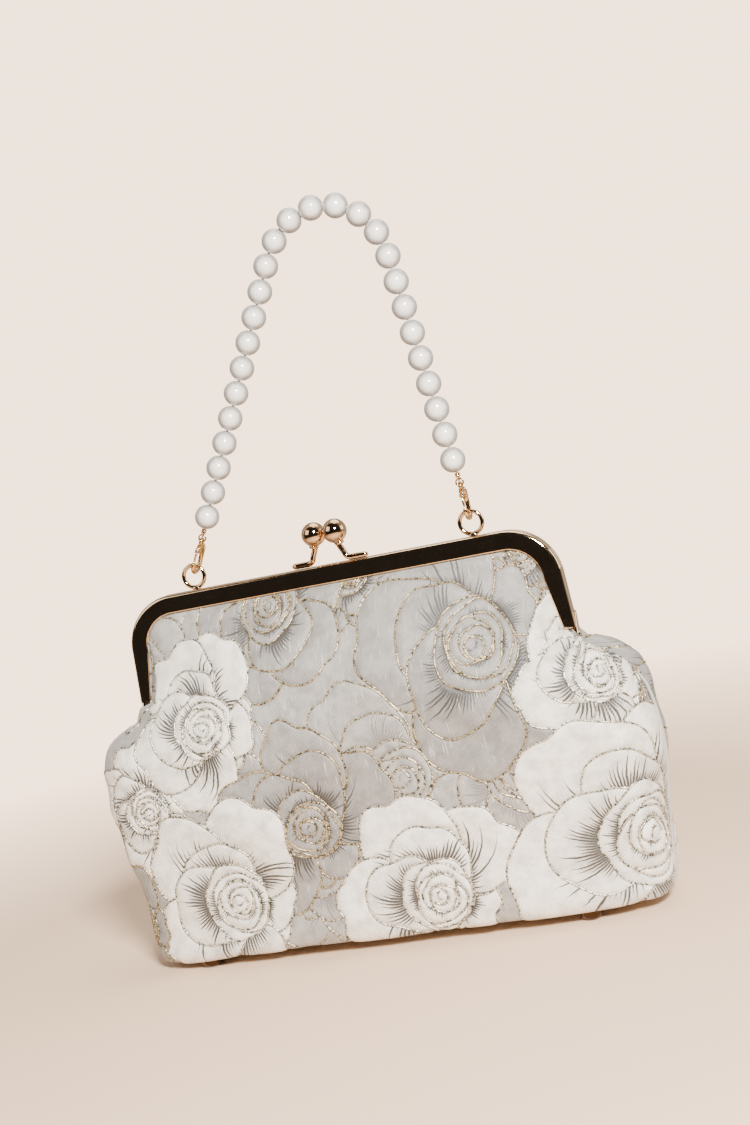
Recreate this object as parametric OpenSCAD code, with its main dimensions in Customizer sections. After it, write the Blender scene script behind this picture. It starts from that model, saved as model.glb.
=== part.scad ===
/* [Body] */
// Height from the underside of the base to the top of the frame
body_h = 168; // [150:1:210]
// Greatest width of the fabric body
body_w = 258; // [225:1:320]
// Width of the fabric body at the base
base_w = 242; // [205:1:300]
// Depth of the fabric body, front to back, at the base
body_d = 66; // [48:1:80]
// How far below the frame's top the body is widest
widest_below = 80; // [70:1:120]
// Radius of the rounded bottom edge
bottom_r = 7; // [4:0.5:12]
// Outer fabric with its interlining
panel_t = 1.2; // [0.8:0.1:2]
// Lining fabric
lining_t = 0.6; // [0.4:0.1:1]

/* [Frame] */
// Width over the frame's top corners
frame_w = 210; // [185:1:230]
// From the frame's top edge down to the hinge axis
frame_drop = 52; // [44:1:60]
// Outer radius of the frame's top corners
corner_r = 24; // [16:1:30]
// Outward slope of the legs, in degrees
leg_splay = 3; // [0:0.5:5]
// Height of the face band along the top
band_top = 8.5; // [7:0.5:11]
// Width of the face band at the leg ends
band_end = 5.5; // [5:0.25:7]
// Depth of one half of the frame
half_depth = 4; // [3.6:0.1:5]
// Sheet metal of the channels
metal_t = 0.9; // [0.7:0.05:1.1]
// Thickness of a hinge ear
ear_t = 1.1; // [0.9:0.1:1.3]
// Radius of the hinge rivets
rivet_r = 1.2; // [0.9:0.1:1.5]

/* [Kiss lock] */
// Diameter of the two closing balls
ball_d = 11.3; // [9:0.1:13]
// Height of the ball centres above the frame
ball_rise = 14.6; // [12:0.1:18]
// Diameter of the stem and foot wire
stem_d = 3; // [2:0.1:3.6]
// Length of the stem's foot along the frame
stem_foot = 13; // [8:0.5:18]
// How far a stem leans towards the middle, in degrees
stem_lean = 12; // [8:0.5:18]

/* [Rings and clasps] */
// Distance of each ring from the middle of the frame
ring_x = 68; // [50:1:75]
// Outer diameter of the rings
ring_d = 12.4; // [11:0.5:15]
// Wire diameter of the rings
ring_wire = 2; // [1.6:0.1:2.4]
// Inner radius of the clasps' hooks
hook_r = 2.8; // [2.6:0.1:3.2]
// Thickness of the clasps' hooks
hook_t = 2.3; // [1.8:0.1:2.6]
// Radius of the gate pins
gate_pin_r = 0.5; // [0.4:0.05:0.6]

/* [Pearl handle] */
// Diameter of the pearls
pearl_d = 11.5; // [8:0.1:14]
// Diameter of the stringing cable
cable_d = 1.1; // [0.8:0.1:1.4]
// Radius of the bend where the strand hangs on its hook
hang_r = 28.5; // [24:0.5:40]
// Sideways shift of that bend from the middle of the bag
hang_shift = 27; // [0:1:30]
// Height of that bend's centre above the frame
hang_rise = 131; // [110:1:180]
// Lean of the left clasp towards the middle, in degrees
left_lean = 26; // [0:1:30]
// Lean of the right clasp towards the middle, in degrees
right_lean = 4; // [0:1:30]

/* [Base] */
// Height of the feet
foot_h = 5.5; // [4:0.5:9]
// Diameter of the feet
foot_d = 11; // [8:0.5:14]
// Distance between the left and right feet
foot_span_x = 182; // [140:1:192]
// Distance between the front and back feet
foot_span_y = 42; // [24:1:50]
// Thickness of the stiff board in the base
board_t = 2; // [1.5:0.25:3]

/* [Hidden] */
$fn = 48;

half_gap = 0.3;          // between the two closed halves
part_gap = 0.3;          // between soft pieces that lie on each other
run_gap = 0.06;          // radial running clearance of pins
top_z = foot_h + body_h;
hinge_z = top_z - frame_drop;
half_y = half_gap / 2 + half_depth / 2;
back_half = 1;
front_half = -1;

gold = [0.83, 0.70, 0.52];
pearl_white = [0.93, 0.90, 0.85];
fabric_grey = [0.66, 0.65, 0.64];
lining_grey = [0.45, 0.44, 0.44];
board_brown = [0.45, 0.38, 0.30];
cable_white = [0.85, 0.84, 0.80];

// ---------- outlines of the frame, in X and height below its top ----------

arc_steps = 12;

// Half width of the frame's outline, inset by d, at a height z below the corner arcs
function leg_x(z, d) = frame_w / 2 - d + (-z - corner_r) * tan(leg_splay);

// One corner arc of the outline inset by d, on the right for side 1, from its leg up to the top
function corner(side, d) = [
    for (i = [0 : arc_steps])
        [side * (frame_w / 2 - corner_r + (corner_r - d) * cos(90 * i / arc_steps)),
         -corner_r + (corner_r - d) * sin(90 * i / arc_steps)]
];

function reversed(list) = [for (i = [len(list) - 1 : -1 : 0]) list[i]];

// The U-shaped line from the left leg's end over the top to the right leg's end
function u_line(d_top, d_end, z_end) = concat(
    [[-leg_x(z_end, d_end), z_end]],
    corner(-1, d_top),
    reversed(corner(1, d_top)),
    [[leg_x(z_end, d_end), z_end]]
);

// The band between two such lines
module u_band(outer, inner_top, inner_end, z_end)
    polygon(concat(u_line(outer, outer, z_end), reversed(u_line(inner_top, inner_end, z_end))));

// Extrudes an XZ outline from y0 to y1 at the frame's height
module frame_slab(y0, y1)
    translate([0, y1, top_z]) rotate([90, 0, 0]) linear_extrude(y1 - y0) children();

// ---------- frame ----------

ear_r = 3.6;
ear_clear = 0.6;
leg_end = -frame_drop + ear_r + ear_clear;   // the channels stop above the ears
ear_x = leg_x(-frame_drop, 0);
front_ear_x = ear_x - 2 * ear_t - half_gap;
back_ear_x = ear_x - ear_t;
ear_arm = 11;

module ear_shape(side, x0, bore_r) {
    arm_y = side > 0 ? half_gap / 2 : -half_gap / 2 - half_depth;
    difference() {
        union() {
            translate([x0, 0, hinge_z]) rotate([0, 90, 0]) cylinder(r = ear_r, h = ear_t);
            translate([x0, arm_y, hinge_z]) cube([ear_t, half_depth, ear_arm]);
        }
        translate([x0 - 1, 0, hinge_z]) rotate([0, 90, 0]) cylinder(r = bore_r, h = ear_t + 2);
    }
}

module channel(y0) {
    frame_slab(y0, y0 + metal_t) u_band(0, band_top, band_end, leg_end);
    frame_slab(y0 + half_depth - metal_t, y0 + half_depth) u_band(0, band_top, band_end, leg_end);
    frame_slab(y0, y0 + half_depth) u_band(0, metal_t, metal_t, leg_end);
}

module frame_half(side, x0, bore_r) {
    channel(side > 0 ? half_gap / 2 : -half_gap / 2 - half_depth);
    ear_shape(side, x0, bore_r);
    mirror([1, 0, 0]) ear_shape(side, x0, bore_r);
}

module back_frame() {
    color(gold) frame_half(back_half, back_ear_x, rivet_r);
}

module front_frame() {
    color(gold) frame_half(front_half, front_ear_x, rivet_r + run_gap);
}

rivet_head_r = 2.2;
rivet_head_t = 0.7;

module rivet() {
    x0 = front_ear_x - part_gap;
    x1 = ear_x;
    translate([x0, 0, hinge_z]) rotate([0, 90, 0]) cylinder(r = rivet_r, h = x1 - x0);
    translate([x0 - rivet_head_t, 0, hinge_z]) rotate([0, 90, 0])
        cylinder(r = rivet_head_r, h = rivet_head_t);
    translate([x1, 0, hinge_z]) rotate([0, 90, 0]) cylinder(r = rivet_head_r, h = rivet_head_t);
}

module hinge_rivets() {
    color(gold) {
        rivet();
        mirror([1, 0, 0]) rivet();
    }
}

// A flattened cord that wedges the fabric's edge in a channel
cord_inset = 1.3;
cord_end = -frame_drop + ear_arm + 1.5;

module paper_cord(side) {
    t = half_depth - 2 * metal_t - 2 * part_gap;
    y0 = side * half_y - t / 2;
    frame_slab(y0, y0 + t) u_band(cord_inset, band_top - 1, band_end - 1, cord_end);
}

module back_paper_cord() {
    color(board_brown) paper_cord(back_half);
}

module front_paper_cord() {
    color(board_brown) paper_cord(front_half);
}

// ---------- kiss lock ----------

ball_x = ball_d / 2 + 0.15;

// A ball on a leaning stem, whose foot lies along the frame's top; side 1 runs to the right
bend_d = stem_d + 0.2;           // the wire is a little fuller where it turns
tip_d = stem_d - 0.2;

module knob(side, y) {
    stem_rise = ball_rise - bend_d / 2;
    root_x = ball_x + stem_rise * tan(stem_lean);
    foot_run = stem_foot - stem_d;
    translate([0, y, top_z]) {
        translate([side * ball_x, 0, ball_rise]) sphere(d = ball_d);
        translate([side * root_x, 0, bend_d / 2]) {
            rotate([0, -side * stem_lean, 0]) cylinder(d = stem_d, h = stem_rise / cos(stem_lean));
            sphere(d = bend_d);
            rotate([0, side * 90, 0]) cylinder(d = stem_d, h = foot_run);
            translate([side * foot_run, 0, 0]) sphere(d = tip_d);
        }
    }
}

module back_knob() {
    color(gold) knob(-1, half_y);
}

module front_knob() {
    color(gold) knob(1, -half_y);
}

// ---------- rings ----------

ring_mid_r = ring_d / 2 - ring_wire / 2;
tab_w = 3.4;
tab_h = 1.5;
tab_t = 2.8;

module ring(x) {
    translate([x, half_y, top_z]) {
        translate([0, 0, ring_d / 2]) rotate([90, 0, 0])
            rotate_extrude() translate([ring_mid_r, 0]) circle(d = ring_wire);
        translate([-tab_w / 2, -tab_t / 2, 0]) cube([tab_w, tab_t, tab_h]);
    }
}

module left_ring() {
    color(gold) ring(-ring_x);
}

module right_ring() {
    color(gold) ring(ring_x);
}

// ---------- clasps: in their own frame the ring's wire is at the origin, Z along the clasp ----------

hook_c = 0.9;                    // the hook's centre above the wire that it hangs on
hook_mid = hook_r + hook_t / 2;
gate_z = hook_c + 6.4;           // the gate's pin
gate_y = -hook_mid + 0.7;
gate_t = 0.9;
slot_t = 1.5;
body_top_z = gate_z + 3.2;
eye_z = body_top_z + 1.3;
eye_hole_r = 1;
eye_r = 2;
link_r = 1.7;
link_wire_r = 0.4;
link_z = eye_z + link_r;
crimp_z0 = link_z + link_r + 0.55;
crimp_z1 = crimp_z0 + 2.1;
crimp_r = 1.3;
loop_r = 0.95;
loop_wire_r = 0.3;
strand_start = crimp_z1 + 0.1;   // where the first pearl begins

// Puts children, made in a clasp's frame, on the left ring for side -1 and on the right for 1
function lean(side) = side < 0 ? left_lean : -right_lean;
function wire_x(side) = side * ring_x + ring_mid_r * sin(lean(side));
function wire_z(side) = top_z + ring_d / 2 + ring_mid_r * cos(lean(side));

module on_ring(side)
    translate([wire_x(side), half_y, wire_z(side)]) rotate([0, lean(side), 0]) children();

// Extrudes a YZ outline along X, centred
module yz(t)
    rotate([90, 0, 90]) linear_extrude(t, center = true) children();

module claw() {
    difference() {
        union() {
            // the hook: half a ring, and its fixed arm on the back
            translate([0, 0, hook_c]) rotate([0, 90, 0]) rotate([0, 0, -90])
                rotate_extrude(angle = 180) translate([hook_mid, 0]) circle(d = hook_t);
            translate([0, hook_mid, hook_c]) cylinder(d = hook_t, h = 5);
            translate([0, -hook_mid, hook_c]) sphere(d = hook_t);
            // the body that holds the gate, and the eye
            yz(hook_t) polygon([
                [hook_mid + hook_t / 2, hook_c + 4], [hook_mid + hook_t / 2, gate_z + 0.5],
                [eye_r, body_top_z + 0.6], [-eye_r, body_top_z + 0.6],
                [-hook_mid - 0.4, gate_z + 1.6], [-hook_mid - 0.4, gate_z - 1.2],
                [-0.6, gate_z - 1.6], [1.6, hook_c + 4]
            ]);
            translate([0, 0, eye_z]) rotate([0, 90, 0]) cylinder(r = eye_r, h = hook_t, center = true);
        }
        translate([0, 0, eye_z]) rotate([0, 90, 0])
            cylinder(r = eye_hole_r, h = hook_t + 2, center = true);
        // slot for the gate's tail and its spring
        translate([-slot_t / 2, -hook_mid - 3, gate_z - 3]) cube([slot_t, hook_mid + 3.2, 4.9]);
        translate([0, gate_y, gate_z]) rotate([0, 90, 0])
            cylinder(r = gate_pin_r, h = hook_t + 2, center = true);
    }
}

module left_claw() {
    color(gold) on_ring(-1) claw();
}

module right_claw() {
    color(gold) on_ring(1) claw();
}

// The lever that closes the hook; its lug is pushed by the thumb
module gate() {
    difference() {
        translate([-slot_t / 2 + 0.1 + gate_t / 2, 0, 0]) yz(gate_t) polygon([
            [-hook_mid - 0.75, hook_c + 1.45], [-hook_mid + 0.75, hook_c + 1.45],
            [-hook_mid + 0.9, gate_z - 1.2], [gate_y + 1.1, gate_z - 0.6], [gate_y + 1.1, gate_z + 0.6],
            [gate_y - 0.2, gate_z + 1.1], [-hook_mid - 1.6, gate_z + 1.2],
            [-hook_mid - 2.6, gate_z + 0.7], [-hook_mid - 2.4, gate_z - 0.5],
            [-hook_mid - 0.9, gate_z - 1.3]
        ]);
        translate([0, gate_y, gate_z]) rotate([0, 90, 0])
            cylinder(r = gate_pin_r + run_gap, h = slot_t + 2, center = true);
    }
}

module left_gate() {
    color(gold) on_ring(-1) gate();
}

module right_gate() {
    color(gold) on_ring(1) gate();
}

module gate_pins() {
    color(gold) for (side = [-1, 1])
        on_ring(side) translate([0, gate_y, gate_z]) rotate([0, 90, 0])
            cylinder(r = gate_pin_r, h = hook_t, center = true);
}

// One turn of spring wire beside each gate, around its pin
module gate_springs() {
    spring_wire_r = 0.16;
    color(cable_white) for (side = [-1, 1])
        on_ring(side) translate([slot_t / 2 - 0.25, gate_y, gate_z]) rotate([0, 90, 0])
            rotate_extrude() translate([gate_pin_r + spring_wire_r + 0.08, 0]) circle(r = spring_wire_r);
}

module jump_links() {
    color(gold) for (side = [-1, 1])
        on_ring(side) translate([0, 0, link_z]) rotate([90, 0, 0])
            rotate_extrude() translate([link_r, 0]) circle(r = link_wire_r);
}

module end_crimps() {
    color(gold) for (side = [-1, 1])
        on_ring(side) {
            translate([0, 0, crimp_z0]) cylinder(r = crimp_r, h = crimp_z1 - crimp_z0);
            translate([0, 0, crimp_z0 - loop_r + 0.35]) rotate([0, 90, 0])
                rotate_extrude() translate([loop_r, 0]) circle(r = loop_wire_r);
        }
}

// ---------- pearl strand ----------

hang_c = [hang_shift, top_z + hang_rise];

// Where a strand end begins, in X and Z
function strand_end(side) = [
    wire_x(side) + strand_start * sin(lean(side)),
    wire_z(side) + strand_start * cos(lean(side))
];

function run_dist(side) = norm(hang_c - strand_end(side));
function run_len(side) = sqrt(pow(run_dist(side), 2) - hang_r * hang_r);

// Direction of the straight run that leaves a strand end and touches the bend
function run_angle(side) =
    atan2(hang_c.y - strand_end(side).y, hang_c.x - strand_end(side).x)
    - side * asin(hang_r / run_dist(side));

bend_angle = run_angle(1) > run_angle(-1) ? 180 - run_angle(1) + run_angle(-1) : 0;
bend_len = hang_r * bend_angle * PI / 180;
strand_len = run_len(-1) + bend_len + run_len(1);

// The point of the strand's route at a distance s from its left end
function route(s) =
    s < run_len(-1)
        ? strand_end(-1) + s * [cos(run_angle(-1)), sin(run_angle(-1))]
        : s < run_len(-1) + bend_len
            ? let (turned = (s - run_len(-1)) / hang_r * 180 / PI, a = run_angle(-1) + 90 - turned)
                hang_c + hang_r * [cos(a), sin(a)]
            : strand_end(1)
                + (strand_len - s) * [cos(run_angle(1)), sin(run_angle(1))];

// Pearls keep this much more than their diameter, so that they clear each other round the bend
pearl_turn = 1 + pow(pearl_d / hang_r, 2) / 6;
pearl_count = floor(strand_len / (pearl_d * pearl_turn + 0.05));
pearl_pitch = strand_len / pearl_count;
joints = [for (i = [0 : pearl_count]) route(i * pearl_pitch)];
bore_r = cable_d / 2 + 0.2;

module pearls() {
    color(pearl_white) for (i = [0 : pearl_count - 1]) {
        a = joints[i];
        b = joints[i + 1];
        mid = (a + b) / 2;
        translate([mid.x, half_y, mid.y]) rotate([0, 90 - atan2(b.y - a.y, b.x - a.x), 0])
            difference() {
                sphere(d = pearl_d);
                cylinder(r = bore_r, h = pearl_d + 2, center = true);
            }
    }
}

// The cable runs straight through each pearl and turns between them
cable_sides = 8;
cable_points = concat(
    [joints[0] - (strand_start - crimp_z1) * [sin(lean(-1)), cos(lean(-1))]],
    joints,
    [joints[pearl_count] - (strand_start - crimp_z1) * [sin(lean(1)), cos(lean(1))]]
);

function unit(v) = v / norm(v);

// Across the cable at point i, along the bisector of the turn there
function across(p, i) =
    let (
        before = unit(p[min(i, len(p) - 2) + 1] - p[min(i, len(p) - 2)]),
        after = unit(p[max(i, 1)] - p[max(i, 1) - 1]),
        along = unit(before + after)
    )
    [along.y, -along.x] / max(0.5, before * along);

module stringing_cord() {
    n = len(cable_points);
    last = n - 1;
    points = [
        for (i = [0 : last], k = [0 : cable_sides - 1])
            let (
                a = 360 * k / cable_sides,
                out = cable_d / 2 * cos(a) * across(cable_points, i)
            )
            [cable_points[i].x + out.x, half_y + cable_d / 2 * sin(a), cable_points[i].y + out.y]
    ];
    sides = [
        for (i = [0 : last - 1], k = [0 : cable_sides - 1])
            let (m = (k + 1) % cable_sides)
            [i * cable_sides + k, i * cable_sides + m, (i + 1) * cable_sides + m,
             (i + 1) * cable_sides + k]
    ];
    ends = [
        [for (k = [cable_sides - 1 : -1 : 0]) k],
        [for (k = [0 : cable_sides - 1]) last * cable_sides + k]
    ];
    color(cable_white) polyhedron(points, concat(sides, ends));
}

// ---------- fabric body ----------
// A point is given by its side (-1 front, 1 back), an angle s from -90 at the left seam
// to 90 at the right, a depth d below the frame's top, and an offset inwards.

panel_top = band_top + 0.6;
seam_top = frame_drop + ear_r + 2;     // the side seams begin below the ears
fold_top = 30;
fold_end = 68;
wall_end = body_h - 1.5;

function smooth(t) = let (c = max(0, min(1, t))) c * c * (3 - 2 * c);

// Half width inside the frame's legs and corners
function inside_frame(d) =
    d < corner_r
        ? frame_w / 2 - corner_r
            + sqrt(max(0, pow(corner_r - band_top - 0.6, 2) - pow(corner_r - d, 2)))
        : leg_x(-d, band_top + 0.6)
            + (band_top - band_end) * smooth((d - corner_r) / (frame_drop - corner_r));

neck_w = inside_frame(frame_drop);
flare = 0.7;                     // below 1, the sides swell out sooner under the legs

// The bottom edge is rounded: how much each half size is taken in
function taken_in(d) =
    let (into = max(0, d - (body_h - bottom_r)) / bottom_r)
    bottom_r * 0.6 * (1 - sqrt(max(0, 1 - into * into)));

function half_width(d) =
    d < frame_drop + 4
        ? inside_frame(min(d, frame_drop))
        : d < widest_below
            ? neck_w + (body_w / 2 - neck_w)
                * pow(sin(90 * (d - frame_drop - 4) / (widest_below - frame_drop - 4)), flare)
            : body_w / 2 - (body_w - base_w) / 2 * smooth((d - widest_below) / (body_h - widest_below))
                - taken_in(d);

function half_deep(d) =
    edge_y(d) + (body_d / 2 - edge_y(d))
        * sin(90 * min(1, max(0, (d - panel_top + 1.5) / (widest_below - panel_top)))) - taken_in(d);

// The panels' side edges lie in the middle of their channel, and meet below the hinge
function edge_y(d) =
    half_y + (part_gap / 2 - half_y) * smooth((d - frame_drop + 6) / (seam_top - frame_drop + 4));

// Power of the rounded cross-section: round at the top, boxy from the widest level down
function power(d) = 2.2 + 2.4 * smooth((d - 15) / (widest_below - 15));

function rounded(c, p) = sign(c) * pow(abs(c), 2 / p);

function wall_point(side, s, d, in) =
    let (p = power(d))
    [
        (half_width(d) - in) * rounded(sin(s), p),
        side * (edge_y(d) + (half_deep(d) - edge_y(d) - in) * rounded(cos(s), p)),
        top_z - d
    ];

// Depths of the rows of a wall piece; toward the rounded bottom they lie closer
function levels(d0, d1, rows) = [
    for (j = [0 : rows])
        let (t = j / rows)
        d0 + (d1 - d0) * (d1 < lining_low ? t : t * (1.3 - 0.3 * t))
];

// Those of list that lie between d0 and d1, and these two
function between(list, d0, d1) =
    concat([d0], [for (d = list) if (d > d0 + 0.5 && d < d1 - 0.5) d], [d1]);

// A closed piece of the wall, between angles s0 and s1 and offsets in0 and in1, with a row at each depth
module wall_piece(side, s0, s1, depths, in0, in1, across_n) {
    down_n = len(depths) - 1;
    row = across_n + 1;
    face = row * (down_n + 1);
    points = [
        for (in = [in0, in1], d = depths, i = [0 : across_n])
            wall_point(side, s0 + (s1 - s0) * i / across_n, d, in)
    ];
    outer = [
        for (j = [0 : down_n - 1], i = [0 : across_n - 1])
            let (a = j * row + i)
            each [[a, a + 1, a + row + 1], [a, a + row + 1, a + row]]
    ];
    inner = [for (f = outer) [f[0] + face, f[2] + face, f[1] + face]];
    top_edge = [for (i = [0 : across_n - 1]) each [[i, i + face, i + 1 + face], [i, i + 1 + face, i + 1]]];
    low = down_n * row;
    low_edge = [
        for (i = [0 : across_n - 1])
            let (a = low + i)
            each [[a, a + 1 + face, a + face], [a, a + 1, a + 1 + face]]
    ];
    left_edge = [
        for (j = [0 : down_n - 1])
            let (a = j * row)
            each [[a, a + row + face, a + face], [a, a + row, a + row + face]]
    ];
    right_edge = [
        for (j = [0 : down_n - 1])
            let (a = j * row + across_n)
            each [[a, a + face, a + row + face], [a, a + row + face, a + row]]
    ];
    faces = concat(outer, inner, top_edge, low_edge, left_edge, right_edge);
    polyhedron(points, side < 0 ? faces : [for (f = faces) reversed(f)]);
}

lining_in = panel_t + part_gap;
lining_end = lining_in + lining_t;
lining_low = body_h - bottom_r;      // the side linings end where the bottom edge's rounding begins
wall_columns = 34;

back_levels = levels(panel_top, wall_end, 34);
upper_levels = levels(panel_top, fold_top, 6);
fold_levels = levels(fold_top + part_gap, fold_end - part_gap, 8);
lower_levels = levels(fold_end, wall_end, 18);

module panel(side, depths)
    wall_piece(side, -90, 90, depths, 0, panel_t, wall_columns);

// Its rows are the panel's, so that their facets stay apart
module lining(side, depths)
    wall_piece(side, -90, 90, depths, lining_in, lining_end, wall_columns);

module back_panel() {
    color(fabric_grey) panel(1, back_levels);
}

module front_upper_panel() {
    color(fabric_grey) panel(-1, upper_levels);
}

module front_fold() {
    color(fabric_grey) panel(-1, fold_levels);
}

module front_lower_panel() {
    color(fabric_grey) panel(-1, lower_levels);
}

module back_lining() {
    color(lining_grey) lining(1, between(back_levels, panel_top + 1, lining_low));
}

module front_upper_lining() {
    color(lining_grey) lining(-1, between(upper_levels, panel_top + 1, fold_top));
}

module fold_lining() {
    color(lining_grey) lining(-1, fold_levels);
}

module front_lower_lining() {
    color(lining_grey) lining(-1, between(lower_levels, fold_end, lining_low));
}

// A flat pocket on the back lining, closed when it is empty
pocket_top = 72;
pocket_end = 130;

module slip_pocket() {
    in0 = lining_end + part_gap;
    depths = between(back_levels, pocket_top, pocket_end);
    color(lining_grey) wall_piece(1, -32, 32, depths, in0, in0 + lining_t, 12);
}

// Piping along each side seam
piping_r = 0.7;
piping_steps = 24;

module side_seams() {
    sides = 6;
    gap = 0.2;
    function piping_d(i) = seam_top + 4 + (wall_end - seam_top - 5) * i / piping_steps;
    points = [
        for (i = [0 : piping_steps], k = [0 : sides - 1])
            let (d = piping_d(i), a = 360 * k / sides)
            [half_width(d) + gap + piping_r * (1 + cos(a)), piping_r * sin(a), top_z - d]
    ];
    walls = [
        for (i = [0 : piping_steps - 1], k = [0 : sides - 1])
            let (a = i * sides + k, b = i * sides + (k + 1) % sides)
            each [[a, b, b + sides], [a, b + sides, a + sides]]
    ];
    ends = [
        [for (k = [sides - 1 : -1 : 0]) k],
        [for (k = [0 : sides - 1]) piping_steps * sides + k]
    ];
    color(fabric_grey) {
        polyhedron(points, concat(walls, ends));
        mirror([1, 0, 0]) polyhedron(points, concat(walls, ends));
    }
}

// ---------- base ----------

outline_steps = 72;
board_z = foot_h + panel_t;

// The body's outline at the base, taken in by in
module base_outline(in) {
    p = power(body_h);
    a = half_width(body_h) - in;
    b = half_deep(body_h) - in;
    polygon([
        for (i = [0 : outline_steps - 1])
            let (t = 360 * i / outline_steps)
            [a * rounded(cos(t), p), b * rounded(sin(t), p)]
    ]);
}

module at_feet()
    for (x = [-1, 1], y = [-1, 1])
        translate([x * foot_span_x / 2, y * foot_span_y / 2, 0]) children();

prong_r = 1;
washer_r = 4;
washer_t = 0.6;

module base_sheet(z, t, in)
    difference() {
        translate([0, 0, z]) linear_extrude(t) base_outline(in);
        at_feet() translate([0, 0, z - 1]) cylinder(r = prong_r + 0.1, h = t + 2);
    }

module base_panel() {
    color(fabric_grey) base_sheet(foot_h, panel_t, 0);
}

module base_board() {
    color(board_brown) base_sheet(board_z, board_t, panel_t + 1.2);
}

foot_flat_r = 2;
foot_arc = 8;

module feet() {
    profile = concat(
        [[0, 0]],
        [for (i = [0 : foot_arc])
            [foot_flat_r + (foot_d / 2 - foot_flat_r) * sin(90 * i / foot_arc),
             foot_h * 0.85 * (1 - cos(90 * i / foot_arc))]],
        [[foot_d / 2, foot_h], [0, foot_h]]
    );
    color(gold) at_feet() union() {
        rotate_extrude() polygon(profile);
        translate([0, 0, foot_h - 0.5])
            cylinder(r = prong_r, h = 0.5 + panel_t + board_t + washer_t + 0.4);
    }
}

module foot_washers() {
    color(gold) at_feet() translate([0, 0, board_z + board_t]) difference() {
        cylinder(r = washer_r, h = washer_t);
        translate([0, 0, -1]) cylinder(r = prong_r + 0.1, h = washer_t + 2);
    }
}

module base_lining() {
    z = board_z + board_t + washer_t + 0.5;
    color(lining_grey) translate([0, 0, z]) linear_extrude(lining_t) base_outline(lining_end + 1.5);
}

back_frame();
front_frame();
hinge_rivets();
back_knob();
front_knob();
left_ring();
right_ring();
left_claw();
right_claw();
left_gate();
right_gate();
gate_pins();
gate_springs();
jump_links();
end_crimps();
stringing_cord();
pearls();
back_paper_cord();
front_paper_cord();
back_panel();
front_upper_panel();
front_fold();
front_lower_panel();
side_seams();
base_panel();
base_board();
feet();
foot_washers();
back_lining();
front_upper_lining();
fold_lining();
front_lower_lining();
base_lining();
slip_pocket();
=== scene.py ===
"""The looks of an evening bag: a kiss-lock frame, a rose brocade body and a pearl strand.

Lengths are in millimetres, with z = 0 under the feet, and to_scene() turns them into metres.
The bag's front is toward -Y. The named sizes are those of the CAD model.
"""

import math

import bpy
import numpy as np
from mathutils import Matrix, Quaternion, Vector


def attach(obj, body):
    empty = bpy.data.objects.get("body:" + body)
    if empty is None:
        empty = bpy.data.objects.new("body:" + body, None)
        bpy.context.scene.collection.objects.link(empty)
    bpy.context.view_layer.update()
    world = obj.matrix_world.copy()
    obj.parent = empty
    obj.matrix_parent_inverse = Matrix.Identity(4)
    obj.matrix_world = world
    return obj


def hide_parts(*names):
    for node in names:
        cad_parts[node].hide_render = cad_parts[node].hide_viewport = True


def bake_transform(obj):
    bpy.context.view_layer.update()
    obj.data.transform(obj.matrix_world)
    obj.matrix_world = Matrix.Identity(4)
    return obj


MM = 0.001

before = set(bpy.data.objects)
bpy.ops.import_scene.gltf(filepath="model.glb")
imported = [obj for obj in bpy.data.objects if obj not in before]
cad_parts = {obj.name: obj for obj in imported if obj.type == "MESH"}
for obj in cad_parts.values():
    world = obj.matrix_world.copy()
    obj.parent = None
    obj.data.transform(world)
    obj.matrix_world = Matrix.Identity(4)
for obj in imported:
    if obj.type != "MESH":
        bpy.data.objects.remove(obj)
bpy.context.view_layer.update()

# ---------- sizes, as in the CAD model ----------

TOP = 173.5
BODY_H = 168
BODY_W = 258
BASE_W = 242
BODY_D = 66
WIDEST = 80
BOTTOM_R = 7
FLARE = 0.7
FRAME_W = 210
FRAME_DROP = 52
CORNER_R = 24
SPLAY = math.radians(3)
BAND_TOP = 8.5
BAND_END = 5.5
HALF_GAP = 0.3
HALF_DEPTH = 4
METAL_T = 0.9
HALF_Y = HALF_GAP / 2 + HALF_DEPTH / 2
EAR_R = 3.6
EAR_ARM = 11
EAR_T = 1.1
LEG_END = -FRAME_DROP + EAR_R + 0.6
BALL_D = 11.3
BALL_RISE = 14.6
STEM_D = 3
STEM_FOOT = 13
STEM_LEAN = math.radians(12)
RING_X = 68
RING_D = 12.4
RING_WIRE = 2
RING_MID_R = RING_D / 2 - RING_WIRE / 2
RING_TAB = (3.4, 2.8, 1.5)
HOOK_C = 0.9
HOOK_T = 2.3
HOOK_MID = 3.95
GATE_Z = 7.3
GATE_Y = -3.25
EYE_Z = 11.8
LINK_R = 1.7
LINK_WIRE_R = 0.4
LINK_Z = 13.5
CRIMP_Z0 = 15.75
CRIMP_Z1 = 17.85
CRIMP_R = 1.3
STRAND_START = 17.95
LEFT_LEAN = math.radians(26)
RIGHT_LEAN = math.radians(4)
HANG = np.array([27.0, TOP + 131])
HANG_R = 28.5
PEARL_D = 11.5
CABLE_D = 1.1
FOOT_H = 5.5
FOOT_D = 11
FOOT_FLAT_R = 2
FOOT_X = 91
FOOT_Y = 21
PANEL_TOP = BAND_TOP + 0.6
LINING_IN = 1.7
POCKET = (32, 72, 130)
PIPING_R = 0.7


# ---------- mesh helpers ----------

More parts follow.
